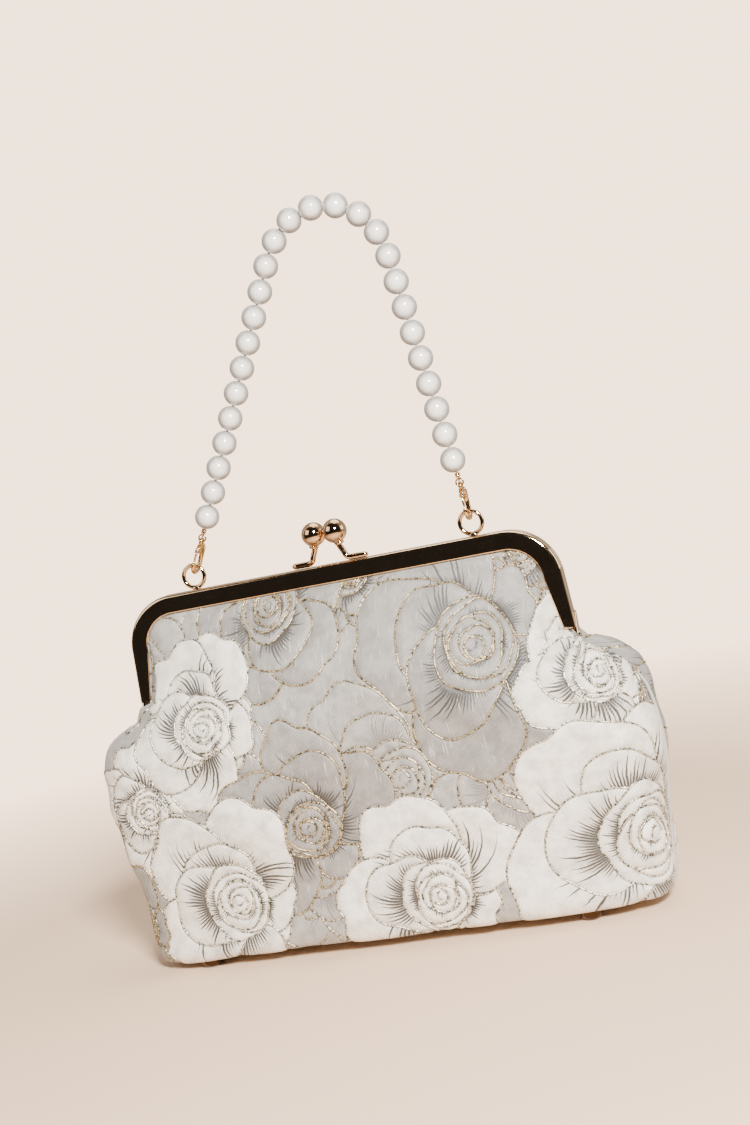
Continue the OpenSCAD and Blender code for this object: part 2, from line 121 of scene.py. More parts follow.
def to_scene(name, points, faces, smooth=True, sharp_angle=None):
    """A mesh object from points in millimetres and faces that all have the same number of corners."""
    points = np.asarray(points, float).reshape(-1, 3)
    faces = np.asarray(faces, int)
    corners = faces.shape[1]
    mesh = bpy.data.meshes.new(name)
    mesh.vertices.add(len(points))
    mesh.vertices.foreach_set("co", (points * MM).ravel())
    mesh.loops.add(faces.size)
    mesh.loops.foreach_set("vertex_index", faces.ravel())
    mesh.polygons.add(len(faces))
    mesh.polygons.foreach_set("loop_start", np.arange(0, faces.size, corners))
    mesh.polygons.foreach_set("loop_total", np.full(len(faces), corners))
    mesh.update(calc_edges=True)
    mesh.validate()
    mesh.polygons.foreach_set("use_smooth", np.full(len(mesh.polygons), smooth))
    if sharp_angle:
        mesh.set_sharp_from_angle(angle=sharp_angle)
    obj = bpy.data.objects.new(name, mesh)
    bpy.context.scene.collection.objects.link(obj)
    return obj


def grid_faces(rows, columns, close_rows=False, close_columns=False, first=0):
    """Quads over a grid of points kept row by row."""
    j = np.arange(rows if close_rows else rows - 1)[:, None]
    i = np.arange(columns if close_columns else columns - 1)[None, :]
    j1 = (j + 1) % rows
    i1 = (i + 1) % columns
    quads = np.stack([j * columns + i, j * columns + i1, j1 * columns + i1, j1 * columns + i], -1)
    return quads.reshape(-1, 4) + first


def fan_caps(rings, columns, first=0):
    """Closes the first and last ring of a swept grid with a strip of quads from side to side."""
    caps = []
    for ring, step in ((0, -1), (rings - 1, 1)):
        base = first + ring * columns
        for i in range(1, columns // 2):
            caps.append([base + i - 1, base + i, base + columns - 1 - i, base + columns - i][::step])
    return np.array(caps, int)


def full_turn(count):
    """Angles of count even steps round a circle."""
    return np.linspace(0, 2 * math.pi, count + 1)[:-1]


def unit(v):
    return v / np.maximum(np.linalg.norm(v, axis=-1, keepdims=True), 1e-9)


def frames_along(path, closed=False, up=(0, 1, 0)):
    """Tangent and two normals at each point of a path, turned as little as possible."""
    path = np.asarray(path, float)
    if closed:
        tangent = unit(np.roll(path, -1, 0) - np.roll(path, 1, 0))
    else:
        tangent = unit(np.gradient(path, axis=0))
    normal = np.array(up, float) - tangent[0] * np.dot(up, tangent[0])
    normals = []
    for t in tangent:
        normal = unit(normal - t * np.dot(normal, t))
        normals.append(normal)
    normals = np.array(normals)
    return tangent, normals, np.cross(tangent, normals)


def tube_points(path, radius, sides=12, closed=False, up=(0, 1, 0), flat=1.0):
    """Points of a tube; radius is one number or one for each point, flat squeezes it along up."""
    path = np.asarray(path, float)
    _, normal, side = frames_along(path, closed, up)
    angle = np.arange(sides) * 2 * math.pi / sides
    radius = np.broadcast_to(radius, len(path))[:, None, None]
    cosine, sine = np.cos(angle)[None, :, None], np.sin(angle)[None, :, None]
    across = cosine * side[:, None] + flat * sine * normal[:, None]
    return path[:, None] + radius * across


class Build:
    """Collects grids and tubes that become one mesh."""

    def __init__(self):
        self.points = []
        self.faces = []
        self.count = 0

    def grid(self, points, close_rows=False, close_columns=False, caps=False):
        rows, columns = points.shape[:2]
        self.faces.append(grid_faces(rows, columns, close_rows, close_columns, self.count))
        if caps:
            self.faces.append(fan_caps(rows, columns, self.count))
        self.points.append(points.reshape(-1, 3))
        self.count += rows * columns
        return self

    def tube(self, path, radius, sides=12, closed=False, up=(0, 1, 0), flat=1.0):
        points = tube_points(path, radius, sides, closed, up, flat)
        return self.grid(points, close_rows=closed, close_columns=True, caps=not closed)

    def turned(self, profile, place=lambda p: p, sides=48):
        """A profile of (radius, height) points turned round the Z axis."""
        profile = np.asarray(profile, float)
        angle = np.arange(sides) * 2 * math.pi / sides
        points = np.stack([
            profile[:, :1] * np.cos(angle), profile[:, :1] * np.sin(angle),
            np.broadcast_to(profile[:, 1:], (len(profile), sides)),
        ], -1)
        return self.grid(place(points), close_columns=True)

    def obj(self, name, smooth=True, sharp_angle=None):
        return to_scene(name, np.concatenate(self.points), np.concatenate(self.faces), smooth, sharp_angle)


def finish_piece(obj, material, body, *nodes, slot=None):
    obj.data.materials.append(material)
    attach(obj, body)
    if nodes:
        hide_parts(*nodes)
    return obj


def finish_cad_nodes(material, *names):
    """Gives nodes that keep their CAD shape a finish."""
    for name in names:
        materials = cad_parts[name].data.materials
        materials.clear()
        materials.append(material)


def smooth(t):
    t = np.clip(t, 0, 1)
    return t * t * (3 - 2 * t)


def arc(centre, radius, start, end, steps):
    """Points of an arc in a plane, angles in degrees."""
    a = np.radians(np.linspace(start, end, steps + 1))
    return np.stack([centre[0] + radius * np.cos(a), centre[1] + radius * np.sin(a)], -1)


# ---------- camera ----------

CAMERA_AZIMUTH = math.radians(16.5)
CAMERA_ELEVATION = math.radians(4)
CAMERA_ROLL = math.radians(-12)
CAMERA_DISTANCE = 0.781
CAMERA_LENS = 54.9
CAMERA_AIM = Vector((0.0209, 0, 0.1702))


def make_camera():
    data = bpy.data.cameras.new("camera")
    data.lens = CAMERA_LENS
    data.clip_start = 0.02
    camera = bpy.data.objects.new("camera", data)
    bpy.context.scene.collection.objects.link(camera)
    level = math.cos(CAMERA_ELEVATION)
    away = Vector((
        math.sin(CAMERA_AZIMUTH) * level, -math.cos(CAMERA_AZIMUTH) * level, math.sin(CAMERA_ELEVATION),
    ))
    camera.location = CAMERA_AIM + away * CAMERA_DISTANCE
    camera.rotation_mode = "QUATERNION"
    camera.rotation_quaternion = away.to_track_quat("Z", "Y") @ Quaternion((0, 0, 1), CAMERA_ROLL)
    bpy.context.scene.camera = camera


make_camera()

# ---------- light and surroundings ----------

# The surroundings as the camera sees them, and the floor.
WALL_WARM = (0.80, 0.58, 0.41, 1)
SEEN_STRENGTH = 5.4
ROOM_STRENGTH = 0.75


def feed(socket, value):
    """Sets a socket to a number or a colour, or links another node's output to it."""
    if isinstance(value, (int, float, tuple)):
        socket.default_value = value
    else:
        socket.id_data.links.new(value, socket)


def node(tree, kind, **values):
    """A new node; a value that starts with in_ is fed to the input of that name."""
    made = tree.nodes.new(kind)
    for key, value in values.items():
        if key.startswith("in_"):
            feed(made.inputs[key[3:].replace("_", " ")], value)
        else:
            setattr(made, key, value)
    return made


def math_node(tree, operation, *values, clamp=False):
    made = node(tree, "ShaderNodeMath", operation=operation, use_clamp=clamp)
    for socket, value in zip(made.inputs, values):
        feed(socket, value)
    return made.outputs[0]


def mixed(tree, factor, first, second, blend="MIX"):
    made = node(tree, "ShaderNodeMix", data_type="RGBA", blend_type=blend, in_Factor=factor)
    feed(made.inputs[6], first)
    feed(made.inputs[7], second)
    return made.outputs[2]


def ramp(tree, source, stops, interpolation="LINEAR"):
    made = tree.nodes.new("ShaderNodeValToRGB")
    made.color_ramp.interpolation = interpolation
    elements = made.color_ramp.elements
    while len(elements) < len(stops):
        elements.new(0.5)
    for element, (position, colour) in zip(elements, stops):
        element.position = position
        element.color = colour
    feed(made.inputs["Fac"], source)
    return made.outputs["Color"]


def grey(value, alpha=1):
    return (value, value, value, alpha)


def make_world():
    """Pale all round for the camera; what metal reflects is dark in front and pale behind and above."""
    world = bpy.data.worlds.new("room")
    world.use_nodes = True
    tree = world.node_tree
    tree.nodes.clear()
    link = tree.links.new
    out = node(tree, "ShaderNodeOutputWorld")
    mix = node(tree, "ShaderNodeMixShader")
    path = node(tree, "ShaderNodeLightPath")
    seen = node(tree, "ShaderNodeBackground", in_Color=WALL_WARM, in_Strength=SEEN_STRENGTH)
    room = node(tree, "ShaderNodeBackground", in_Strength=ROOM_STRENGTH)
    where = node(tree, "ShaderNodeTexCoord")
    parts = node(tree, "ShaderNodeSeparateXYZ")
    link(where.outputs["Generated"], parts.inputs[0])
    from_front = math_node(tree, "MULTIPLY_ADD", parts.outputs["Y"], 0.5, 0.5)
    reflected = ramp(tree, from_front, [
        (0.0, (0.030, 0.030, 0.032, 1)), (0.36, (0.05, 0.045, 0.04, 1)), (0.55, (0.60, 0.53, 0.45, 1)),
        (0.8, (0.85, 0.77, 0.68, 1)),
    ])
    link(reflected, room.inputs["Color"])
    link(path.outputs["Is Camera Ray"], mix.inputs["Fac"])
    link(room.outputs[0], mix.inputs[1])
    link(seen.outputs[0], mix.inputs[2])
    link(mix.outputs[0], out.inputs["Surface"])
    bpy.context.scene.world = world


def area_light(name, place, target, size, power, colour=(1, 1, 1)):
    data = bpy.data.lights.new(name, "AREA")
    data.size = size
    data.energy = power
    data.color = colour
    obj = bpy.data.objects.new(name, data)
    obj.location = place
    obj.rotation_euler = (Vector(target) - Vector(place)).to_track_quat("-Z", "Y").to_euler()
    bpy.context.scene.collection.objects.link(obj)


def make_lights():
    centre = (0.0, 0.0, 0.12)
    area_light("key", (0.50, -0.95, 0.70), centre, 0.22, 52, (1, 0.95, 0.88))
    area_light("fill", (-0.9, -0.75, 0.75), centre, 0.8, 5, (1, 0.95, 0.89))
    area_light("top", (0.1, 0.25, 1.1), centre, 0.8, 7, (1, 0.95, 0.89))
    area_light("side", (1.0, 0.15, 0.45), centre, 0.5, 3, (1, 0.95, 0.89))


make_world()
make_lights()

# ---------- materials ----------


def material(name):
    made = bpy.data.materials.new(name)
    made.use_nodes = True
    tree = made.node_tree
    tree.nodes.clear()
    shader = tree.nodes.new("ShaderNodeBsdfPrincipled")
    out = tree.nodes.new("ShaderNodeOutputMaterial")
    tree.links.new(shader.outputs[0], out.inputs["Surface"])
    return made, tree, shader


def give(shader, **inputs):
    """Feeds a shader's inputs, whose names have _ for a space."""
    for key, value in inputs.items():
        feed(shader.inputs[key.replace("_", " ")], value)


def bump(tree, height, strength, distance):
    """The normal that a height gives; distance is in millimetres."""
    made = node(tree, "ShaderNodeBump", in_Strength=strength, in_Distance=distance * MM, in_Height=height)
    return made.outputs[0]


def object_place(tree, scale=1.0):
    """Object coordinates in millimetres times scale."""
    where = node(tree, "ShaderNodeTexCoord")
    scaled = node(tree, "ShaderNodeVectorMath", operation="SCALE", in_Scale=scale / MM)
    feed(scaled.inputs[0], where.outputs["Object"])
    return scaled.outputs[0]


def noise(tree, place, scale, detail=2, roughness=0.5):
    made = node(tree, "ShaderNodeTexNoise", in_Vector=place, in_Scale=scale, in_Detail=detail,
                in_Roughness=roughness)
    return made.outputs["Fac"]


def bands(tree, place, scale, **inputs):
    """Height of diagonal ribs, 0 to 1."""
    made = node(tree, "ShaderNodeTexWave", wave_type="BANDS", bands_direction="DIAGONAL", in_Vector=place,
                in_Scale=scale, **inputs)
    return made.outputs["Fac"]


def attribute(tree, name, output="Color"):
    """What the mesh holds under a name."""
    return node(tree, "ShaderNodeAttribute", attribute_name=name).outputs[output]


def two_tone(tree, place, scale, colour, darker):
    """A colour with broad patches that are darker by a factor."""
    dark = tuple(c * darker for c in colour) + (1,)
    return ramp(tree, noise(tree, place, scale, 3), [(0.3, dark), (0.7, colour + (1,))])


def polished_gold(name, colour, roughness, wear=0.06):
    """Plated metal: a clean polish with faint rubbed patches and hairline ripples."""
    made, tree, shader = material(name)
    place = object_place(tree)
    rubbed = noise(tree, place, 0.5, 4, 0.6)
    give(shader, Metallic=1, Base_Color=two_tone(tree, place, 0.12, colour, 0.86),
         Roughness=ramp(tree, rubbed, [(0.35, grey(roughness)), (0.75, grey(roughness + wear))]),
         Normal=bump(tree, noise(tree, place, 0.35, 2), 0.04, 0.4))
    return made


def nacre():
    """Glossy white pearl coating with a soft pink and green play toward the rim; its base colour also holds a
    painted highlight in the middle, a painted darker ring and a painted bright rim, all as seen from the
    camera.
    """
    made, tree, shader = material("nacre")
    rim = node(tree, "ShaderNodeLayerWeight", in_Blend=0.42)
    # Painted highlight and painted rim light: the base colour is bright where the surface faces the camera,
    # darker in a ring, and bright again at the rim.
    body = ramp(tree, rim.outputs["Facing"], [
        (0.0, (0.98, 0.96, 0.93, 1)), (0.16, (0.72, 0.70, 0.67, 1)), (0.34, (0.34, 0.33, 0.315, 1)),
        (0.6, (0.36, 0.345, 0.33, 1)), (1.0, (0.95, 0.92, 0.87, 1)),
    ])
    place = object_place(tree)
    give(shader, Base_Color=mixed(tree, 1, body, attribute(tree, "pearl_tint"), "MULTIPLY"),
         Roughness=ramp(tree, noise(tree, place, 0.3, 3), [(0.3, grey(0.16)), (0.7, grey(0.24))]),
         Subsurface_Weight=0.15, Subsurface_Radius=(0.002, 0.0018, 0.0015), Subsurface_Scale=0.5,
         Coat_Weight=1, Coat_Roughness=0.10, Coat_IOR=1.55, Thin_Film_Thickness=340, Thin_Film_IOR=1.45,
         Normal=bump(tree, noise(tree, place, 0.9, 3), 0.05, 0.2))
    return made


# Rib pitches in millimetres, and the wave texture's scale for a pitch of one.
TWILL = 1.05
SATIN_RIB = 0.5
WAVE = 2 * math.pi / 20


def hatch(tree):
    """How dark the woven strokes are: they start at a petal's base and thin out along it.

    The mesh's "stroke" attribute holds the turn round the petal's base in stroke widths, the
    distance from the base in millimetres, and the longest stroke there.
    """
    parts = node(tree, "ShaderNodeSeparateXYZ", in_Vector=attribute(tree, "stroke", "Vector"))
    turn, out, longest = parts.outputs
    waver = noise(tree, object_place(tree), 0.25, 1)
    wavy = math_node(tree, "MULTIPLY_ADD", waver, 0.5, turn)
    cell = math_node(tree, "FLOOR", wavy)
    chance = node(tree, "ShaderNodeTexWhiteNoise", noise_dimensions="1D", in_W=cell)
    share = math_node(tree, "MULTIPLY_ADD", chance.outputs["Value"], 0.7, 0.3)
    length = math_node(tree, "MULTIPLY", longest, share)
    run = math_node(tree, "DIVIDE", out, math_node(tree, "MAXIMUM", length, 0.01))
    left = math_node(tree, "SUBTRACT", 1.0, run, clamp=True)
    width = math_node(tree, "MULTIPLY", math_node(tree, "POWER", left, 0.8), 0.56)
    across = math_node(tree, "SUBTRACT", math_node(tree, "FRACT", wavy), 0.5)
    from_middle = math_node(tree, "ABSOLUTE", across)
    inside = math_node(tree, "SUBTRACT", width, from_middle)
    return math_node(tree, "MULTIPLY", inside, 9.0, clamp=True)


def brocade():
    """Satin jacquard: tinted petals, twill ribs, woven dark strokes and stray bright threads."""
    made, tree, shader = material("rose_brocade")
    uv = node(tree, "ShaderNodeUVMap", uv_map="cloth").outputs[0]
    ribs = bands(tree, uv, WAVE / TWILL * math.sqrt(2), in_Distortion=0.6, in_Detail=1, in_Detail_Scale=2)
    ribbed = mixed(tree, ribs, grey(0.80), grey(1.08))
    base = mixed(tree, 1.0, attribute(tree, "tint"), ribbed, "MULTIPLY")
    # Painted shade: broad random darker patches that stand for the uneven shading of the slack satin.
    painted_shade_patches = ramp(tree, noise(tree, uv, 0.16, 4, 0.6), [
        (0.34, (0.70, 0.69, 0.68, 1)), (0.60, (1.0, 0.99, 0.97, 1)),
    ])
    base = mixed(tree, 1.0, base, painted_shade_patches, "MULTIPLY")
    stretched = node(tree, "ShaderNodeMapping", in_Vector=uv, in_Scale=(1.4, 0.11, 1))
    streaks = ramp(tree, noise(tree, stretched.outputs[0], 1.0, 1), [(0.66, grey(0)), (0.72, grey(1))])
    base = mixed(tree, math_node(tree, "MULTIPLY", streaks, 0.35), base, (0.93, 0.91, 0.87, 1))
    dark = hatch(tree)
    weave = math_node(tree, "SUBTRACT", ribs, math_node(tree, "MULTIPLY", dark, 0.5))
    grain = math_node(tree, "MULTIPLY", noise(tree, uv, 1.6, 2), 0.8)
    give(shader, Base_Color=mixed(tree, dark, base, attribute(tree, "ink")),
         Roughness=math_node(tree, "MULTIPLY_ADD", ribs, 0.14, 0.36), Specular_IOR_Level=0.62,
         Sheen_Weight=0.12, Sheen_Roughness=0.4,
         Normal=bump(tree, math_node(tree, "ADD", weave, grain), 0.6, 0.22))
    return made


def metallic_thread(name):
    """Foil-wrapped cord of the mesh's own tint, with random dark flecks that are painted shade for the gaps
    in its twist.
    """
    made, tree, shader = material(name)
    flecks = noise(tree, object_place(tree), 0.85, 2, 0.7)
    # Painted shade: random near-black flecks stand for shade in the twist's gaps; they are placed by noise,
    # not by the twisted geometry.
    painted_gap_shade = ramp(tree, flecks, [(0.42, grey(0.07)), (0.48, grey(0.55)), (0.60, grey(1))])
    give(shader, Base_Color=mixed(tree, 1.0, attribute(tree, "tint"), painted_gap_shade, "MULTIPLY"), Metallic=0.55,
         Roughness=0.33)
    return made


def satin(name, colour, roughness=0.42):
    """Plain satin for the lining, the piping and the base."""
    made, tree, shader = material(name)
    place = object_place(tree)
    ribs = bands(tree, place, WAVE / SATIN_RIB)
    shade = two_tone(tree, place, 0.06, colour, 0.88)
    give(shader, Base_Color=mixed(tree, ribs, mixed(tree, 1.0, shade, grey(0.92), "MULTIPLY"), shade),
         Roughness=roughness, Sheen_Weight=0.3, Normal=bump(tree, ribs, 0.2, 0.1))
    return made


def fibre_board():
    made, tree, shader = material("paper_board")
    grains = noise(tree, object_place(tree), 1.2, 4, 0.7)
    shades = ramp(tree, grains, [(0.3, (0.24, 0.18, 0.12, 1)), (0.7, (0.42, 0.34, 0.25, 1))])
    give(shader, Base_Color=shades, Roughness=0.9, Normal=bump(tree, grains, 0.3, 0.2))
    return made


def braided_cable():
    made, tree, shader = material("bead_cord")
    braid = bands(tree, object_place(tree), 0.6)
    shades = ramp(tree, braid, [(0.2, grey(0.55)), (0.7, (0.83, 0.81, 0.77, 1))])
    give(shader, Base_Color=shades, Roughness=0.6, Normal=bump(tree, braid, 0.5, 0.15))
    return made


GOLD = polished_gold("light_gold", (0.86, 0.62, 0.38), 0.05)
# Painted shade: the feet are the same plated gold as the rest, given a near-black colour so that they look
# shaded under the bag instead of reflecting the bright floor.
FOOT_GOLD_PAINTED_SHADE = polished_gold("foot_gold_painted_shade", (0.075, 0.045, 0.025), 0.08)
DARK_GOLD = polished_gold("ball_gold", (0.70, 0.47, 0.28), 0.035)
CLASP_GOLD = polished_gold("clasp_gold", (0.82, 0.55, 0.27), 0.09)
STEEL = polished_gold("spring_steel", (0.62, 0.61, 0.60), 0.22)
NACRE = nacre()
BROCADE = brocade()
THREAD = metallic_thread("champagne_thread")
LINING = satin("lining_satin", (0.50, 0.48, 0.47))
PIPING = satin("piping_satin", (0.46, 0.45, 0.44))
BOARD = fibre_board()
CABLE = braided_cable()

# ---------- frame ----------


def leg_x(z, inset):
    """Half width of the frame's outline, inset, at a height z below the corner arcs."""
    return FRAME_W / 2 - inset + (-z - CORNER_R) * math.tan(SPLAY)


def frame_line(inset_top, inset_end, end=LEG_END, leg_steps=10, arc_steps=20, top_steps=30):
    """Points (x, z below the top) from the left leg's end over the top to the right leg's end."""
    leg = np.linspace(end, -CORNER_R, leg_steps, endpoint=False)
    part = (leg - end) / (-CORNER_R - end)
    leg_points = np.stack([
        [leg_x(z, inset_end + (inset_top - inset_end) * t) for z, t in zip(leg, part)], leg,
    ], -1)
    turn = np.radians(np.linspace(0, 90, arc_steps, endpoint=False))
    centre = FRAME_W / 2 - CORNER_R
    radius = CORNER_R - inset_top
    corner = np.stack([centre + radius * np.cos(turn), -CORNER_R + radius * np.sin(turn)], -1)
    top = np.stack([
        np.linspace(centre, 0, top_steps // 2 + 1), np.full(top_steps // 2 + 1, -inset_top),
    ], -1)
    right = np.concatenate([leg_points, corner, top])
    left = right[:-1] * (-1, 1)
    return np.concatenate([left, right[::-1]])


def channel_profile():
    """Closed outline of the bent strip: (share of the band's width from the outer edge, inset, y)."""
    r = 1.5  # bend of the outer edge
    rows = [(0, r + 0.25, -HALF_DEPTH)]
    rows += [(0, x, y) for x, y in arc((r, -HALF_DEPTH + r), r, 270, 180, 6)]
    rows += [(0, 0, -HALF_DEPTH + r + 0.2), (0, 0, -0.7)]
    rows += [(0, x, y) for x, y in arc((0.5, -0.5), 0.5, 180, 90, 4)]
    rows += [(0, 0.75, 0), (1, -0.65, 0)]
    rows += [(1, x, y) for x, y in arc((-0.45, -0.45), 0.45, -90, 90, 6)[::-1]]
    rows += [(0, METAL_T, -METAL_T), (0, METAL_T, -HALF_DEPTH + METAL_T)]
    rows += [(1, x, y) for x, y in arc((-0.45, -HALF_DEPTH + 0.45), 0.45, -90, 90, 6)[::-1]]
    rows += [(1, -0.65, -HALF_DEPTH)]
    return np.array(rows)


def channel(side):
    """One bent channel; side is -1 for the front half and 1 for the back."""
    outer = frame_line(0, 0)
    inner = frame_line(BAND_TOP, BAND_END)
    across = inner - outer
    width = np.linalg.norm(across, axis=1, keepdims=True)
    direction = across / width
    profile = channel_profile()
    inset = profile[:, 0][None] * width + profile[:, 1][None]
    xz = outer[:, None] + direction[:, None] * inset[..., None]
    y = np.broadcast_to(-HALF_GAP / 2 + profile[:, 2], inset.shape) * -side
    return np.stack([xz[..., 0], y, TOP + xz[..., 1]], -1)


def ear(build, side, x_side, x0):
    """The flat tab that carries the hinge's rivet: a rounded plate with an arm up to the channel."""
    hinge_z = TOP - FRAME_DROP
    low, high = sorted((HALF_GAP / 2 * side, (HALF_GAP / 2 + HALF_DEPTH) * side))
    outline = arc((0, 0), EAR_R, 0, 360, 40)[:-1]
    arm = outline[:, 1] > EAR_R * 0.5
    span = np.clip((outline[arm, 0] + EAR_R) / (2 * EAR_R), 0, 1)
    outline[arm, 0] = low + (high - low) * span
    outline[arm, 1] = EAR_ARM
    rings = []
    for x, shrink in ((x0, 0.2), (x0 + 0.2, 0), (x0 + EAR_T - 0.2, 0), (x0 + EAR_T, 0.2)):
        towards = outline * (1 - shrink / EAR_R)
        rings.append(np.stack([
            np.full(len(towards), x * x_side), towards[:, 0], hinge_z + towards[:, 1],
        ], -1))
    build.grid(np.array(rings), close_columns=True, caps=True)


def frame_half(name, side, x0, body, cad):
    build = Build().grid(channel(side), close_columns=True)
    for x_side in (-1, 1):
        ear(build, side, x_side, x0)
    obj = build.obj(name, sharp_angle=math.radians(40))
    return finish_piece(obj, GOLD, body, cad, slot="gold")


EAR_X = leg_x(-FRAME_DROP, 0)
frame_half("frame_back_channel", 1, EAR_X - EAR_T, "bag", "back_frame")
frame_half("frame_front_channel", -1, EAR_X - 2 * EAR_T - HALF_GAP, "front", "front_frame")
finish_cad_nodes(GOLD, "hinge_rivets", "foot_washers")

# ---------- kiss lock ----------


def knob(name, side, y, body, cad):
    """A ball on a leaning wire stem whose foot is bent along the frame's top."""
    ball_x = BALL_D / 2 + 0.15
    root_x = ball_x + BALL_RISE * math.tan(STEM_LEAN)
    r = STEM_D / 2
    bend = 2.6
    up = np.array([side * -math.sin(STEM_LEAN), 0, math.cos(STEM_LEAN)])
    out = np.array([side, 0, 0.0])
    corner = np.array([side * root_x, 0, r])
    start = np.array([side * ball_x, 0, BALL_RISE - BALL_D / 2 + 0.6])
    turn = [corner + up * bend * (1 - t) ** 2 + out * bend * t ** 2 for t in np.linspace(0, 1, 12)]
    straight = [start + (turn[0] - start) * t for t in np.linspace(0, 1, 6)[:-1]]
    end = corner + out * (STEM_FOOT - STEM_D)
    foot = [turn[-1] + (end - turn[-1]) * t for t in np.linspace(0, 1, 8)[1:]]
    path = np.array(straight + turn + foot) + (0, y, TOP)
    radius = np.full(len(path), r * 0.92)
    radius[0] = r * 1.05
    radius[-1] = r * 0.55
    tip = path[-1] + out * np.array([0.45, 0, 0])
    build = Build()
    build.tube(np.vstack([path, tip]), np.append(radius, 0.1), sides=16)
    profile = [(0.001, -BALL_D / 2)] + [
        (BALL_D / 2 * math.sin(a), -BALL_D / 2 * math.cos(a)) for a in np.linspace(0.04, math.pi - 0.04, 40)
    ] + [(0.001, BALL_D / 2)]
    centre = np.array([side * ball_x, y, TOP + BALL_RISE])
    build.turned(profile, lambda p: p + centre, sides=64)
    neck = centre - up * BALL_D / 2
    collar = [neck - up * 1.0, neck - up * 0.5, neck + up * 0.3, neck + up * 0.9]
    build.tube(collar, [1.7, 2.1, 2.1, 1.6], sides=24)
    return finish_piece(build.obj(name), DARK_GOLD, body, cad, slot="gold")


knob("knob_back", -1, HALF_Y, "bag", "back_knob")
knob("knob_front", 1, -HALF_Y, "front", "front_knob")

# ---------- rings ----------


def ring(name, x, cad):
    """A thick wire ring soldered on a small saddle."""
    wide, deep, high = RING_TAB
    angle = full_turn(64)
    path = np.stack([
        x + RING_MID_R * np.cos(angle), HALF_Y + 0 * angle, TOP + RING_D / 2 + RING_MID_R * np.sin(angle),
    ], -1)
    build = Build().tube(path, RING_WIRE / 2, sides=20, closed=True)
    saddle = np.array([
        (-0.5, 0), (-0.46, 0.5), (-0.3, 0.9), (0, 1), (0.3, 0.9), (0.46, 0.5), (0.5, 0), (0, 0),
    ])
    rings = [
        np.stack([
            x + saddle[:, 0] * wide * w, np.full(len(saddle), HALF_Y + deep * y),
            TOP + saddle[:, 1] * high * w,
        ], -1)
        for y, w in ((-0.5, 0.75), (-0.42, 1), (0.42, 1), (0.5, 0.75))
    ]
    build.grid(np.array(rings), close_columns=True, caps=True)
    return finish_piece(build.obj(name), GOLD, "bag", cad, slot="gold")


ring("ring_left", -RING_X, "left_ring")
ring("ring_right", RING_X, "right_ring")

# ---------- clasps ----------


def clasp_place(side):
    """Turns points of the clasp's own frame (its wire at the origin) into the bag's."""
    lean = LEFT_LEAN if side < 0 else -RIGHT_LEAN
    origin = np.array([
        side * RING_X + RING_MID_R * math.sin(lean), HALF_Y, TOP + RING_D / 2 + RING_MID_R * math.cos(lean),
    ])
    along_x = np.array([math.cos(lean), 0, -math.sin(lean)])
    along_z = np.array([math.sin(lean), 0, math.cos(lean)])

    def place(points):
        points = np.asarray(points, float)
        x, y, z = points[..., :1], points[..., 1:2], points[..., 2:3]
        return origin + x * along_x + y * (0, 1, 0) + z * along_z

    return place


def clasp_tube(build, place, path, radius, sides=16, closed=False, flat=1.0):
    points = tube_points(path, radius, sides, closed, up=(1, 0, 0), flat=flat)
    build.grid(place(points), close_rows=closed, close_columns=True, caps=not closed)


def claw(name, side, cad):
    """The hook, its swelling body and the eye: one casting."""
    place = clasp_place(side)
    build = Build()
    hook = arc((0, HOOK_C), HOOK_MID, 180, 360, 26)
    tip = [(-HOOK_MID, HOOK_C + 0.9), (-HOOK_MID, HOOK_C + 0.45)]
    rise = [(HOOK_MID, HOOK_C + h) for h in (1.2, 2.4, 3.6)]
    shoulder = [
        (3.6, GATE_Z - 1.3), (2.9, GATE_Z + 0.3), (2.0, GATE_Z + 1.7), (1.0, GATE_Z + 2.9),
        (0.2, GATE_Z + 3.7),
    ]
    yz = np.array(tip + [tuple(p) for p in hook] + rise + shoulder)
    path = np.stack([np.zeros(len(yz)), yz[:, 0], yz[:, 1]], -1)
    thick = HOOK_T / 2
    radius = np.concatenate([
        [thick * 0.72, thick * 0.86], np.linspace(0.92, 1.0, len(hook)) * thick, np.full(3, thick),
        np.array([1.12, 1.38, 1.55, 1.35, 0.95]) * thick,
    ])
    clasp_tube(build, place, path, radius)
    arm = np.array([
        (0, 0.9, GATE_Z + 3.2), (0, -0.6, GATE_Z + 2.6), (0, -2.2, GATE_Z + 1.7), (0, -3.4, GATE_Z + 0.9),
    ])
    for x in (-0.95, 0.95):
        clasp_tube(build, place, arm + (x * 0.75, 0, 0), [0.9, 0.85, 0.75, 0.6], sides=12, flat=0.5)
    eye = np.array([(0, 1.5 * math.cos(a), EYE_Z + 1.5 * math.sin(a)) for a in full_turn(32)])
    clasp_tube(build, place, eye, 0.55, sides=12, closed=True, flat=1.5)
    return finish_piece(build.obj(name), CLASP_GOLD, "handle", cad, slot="gold")


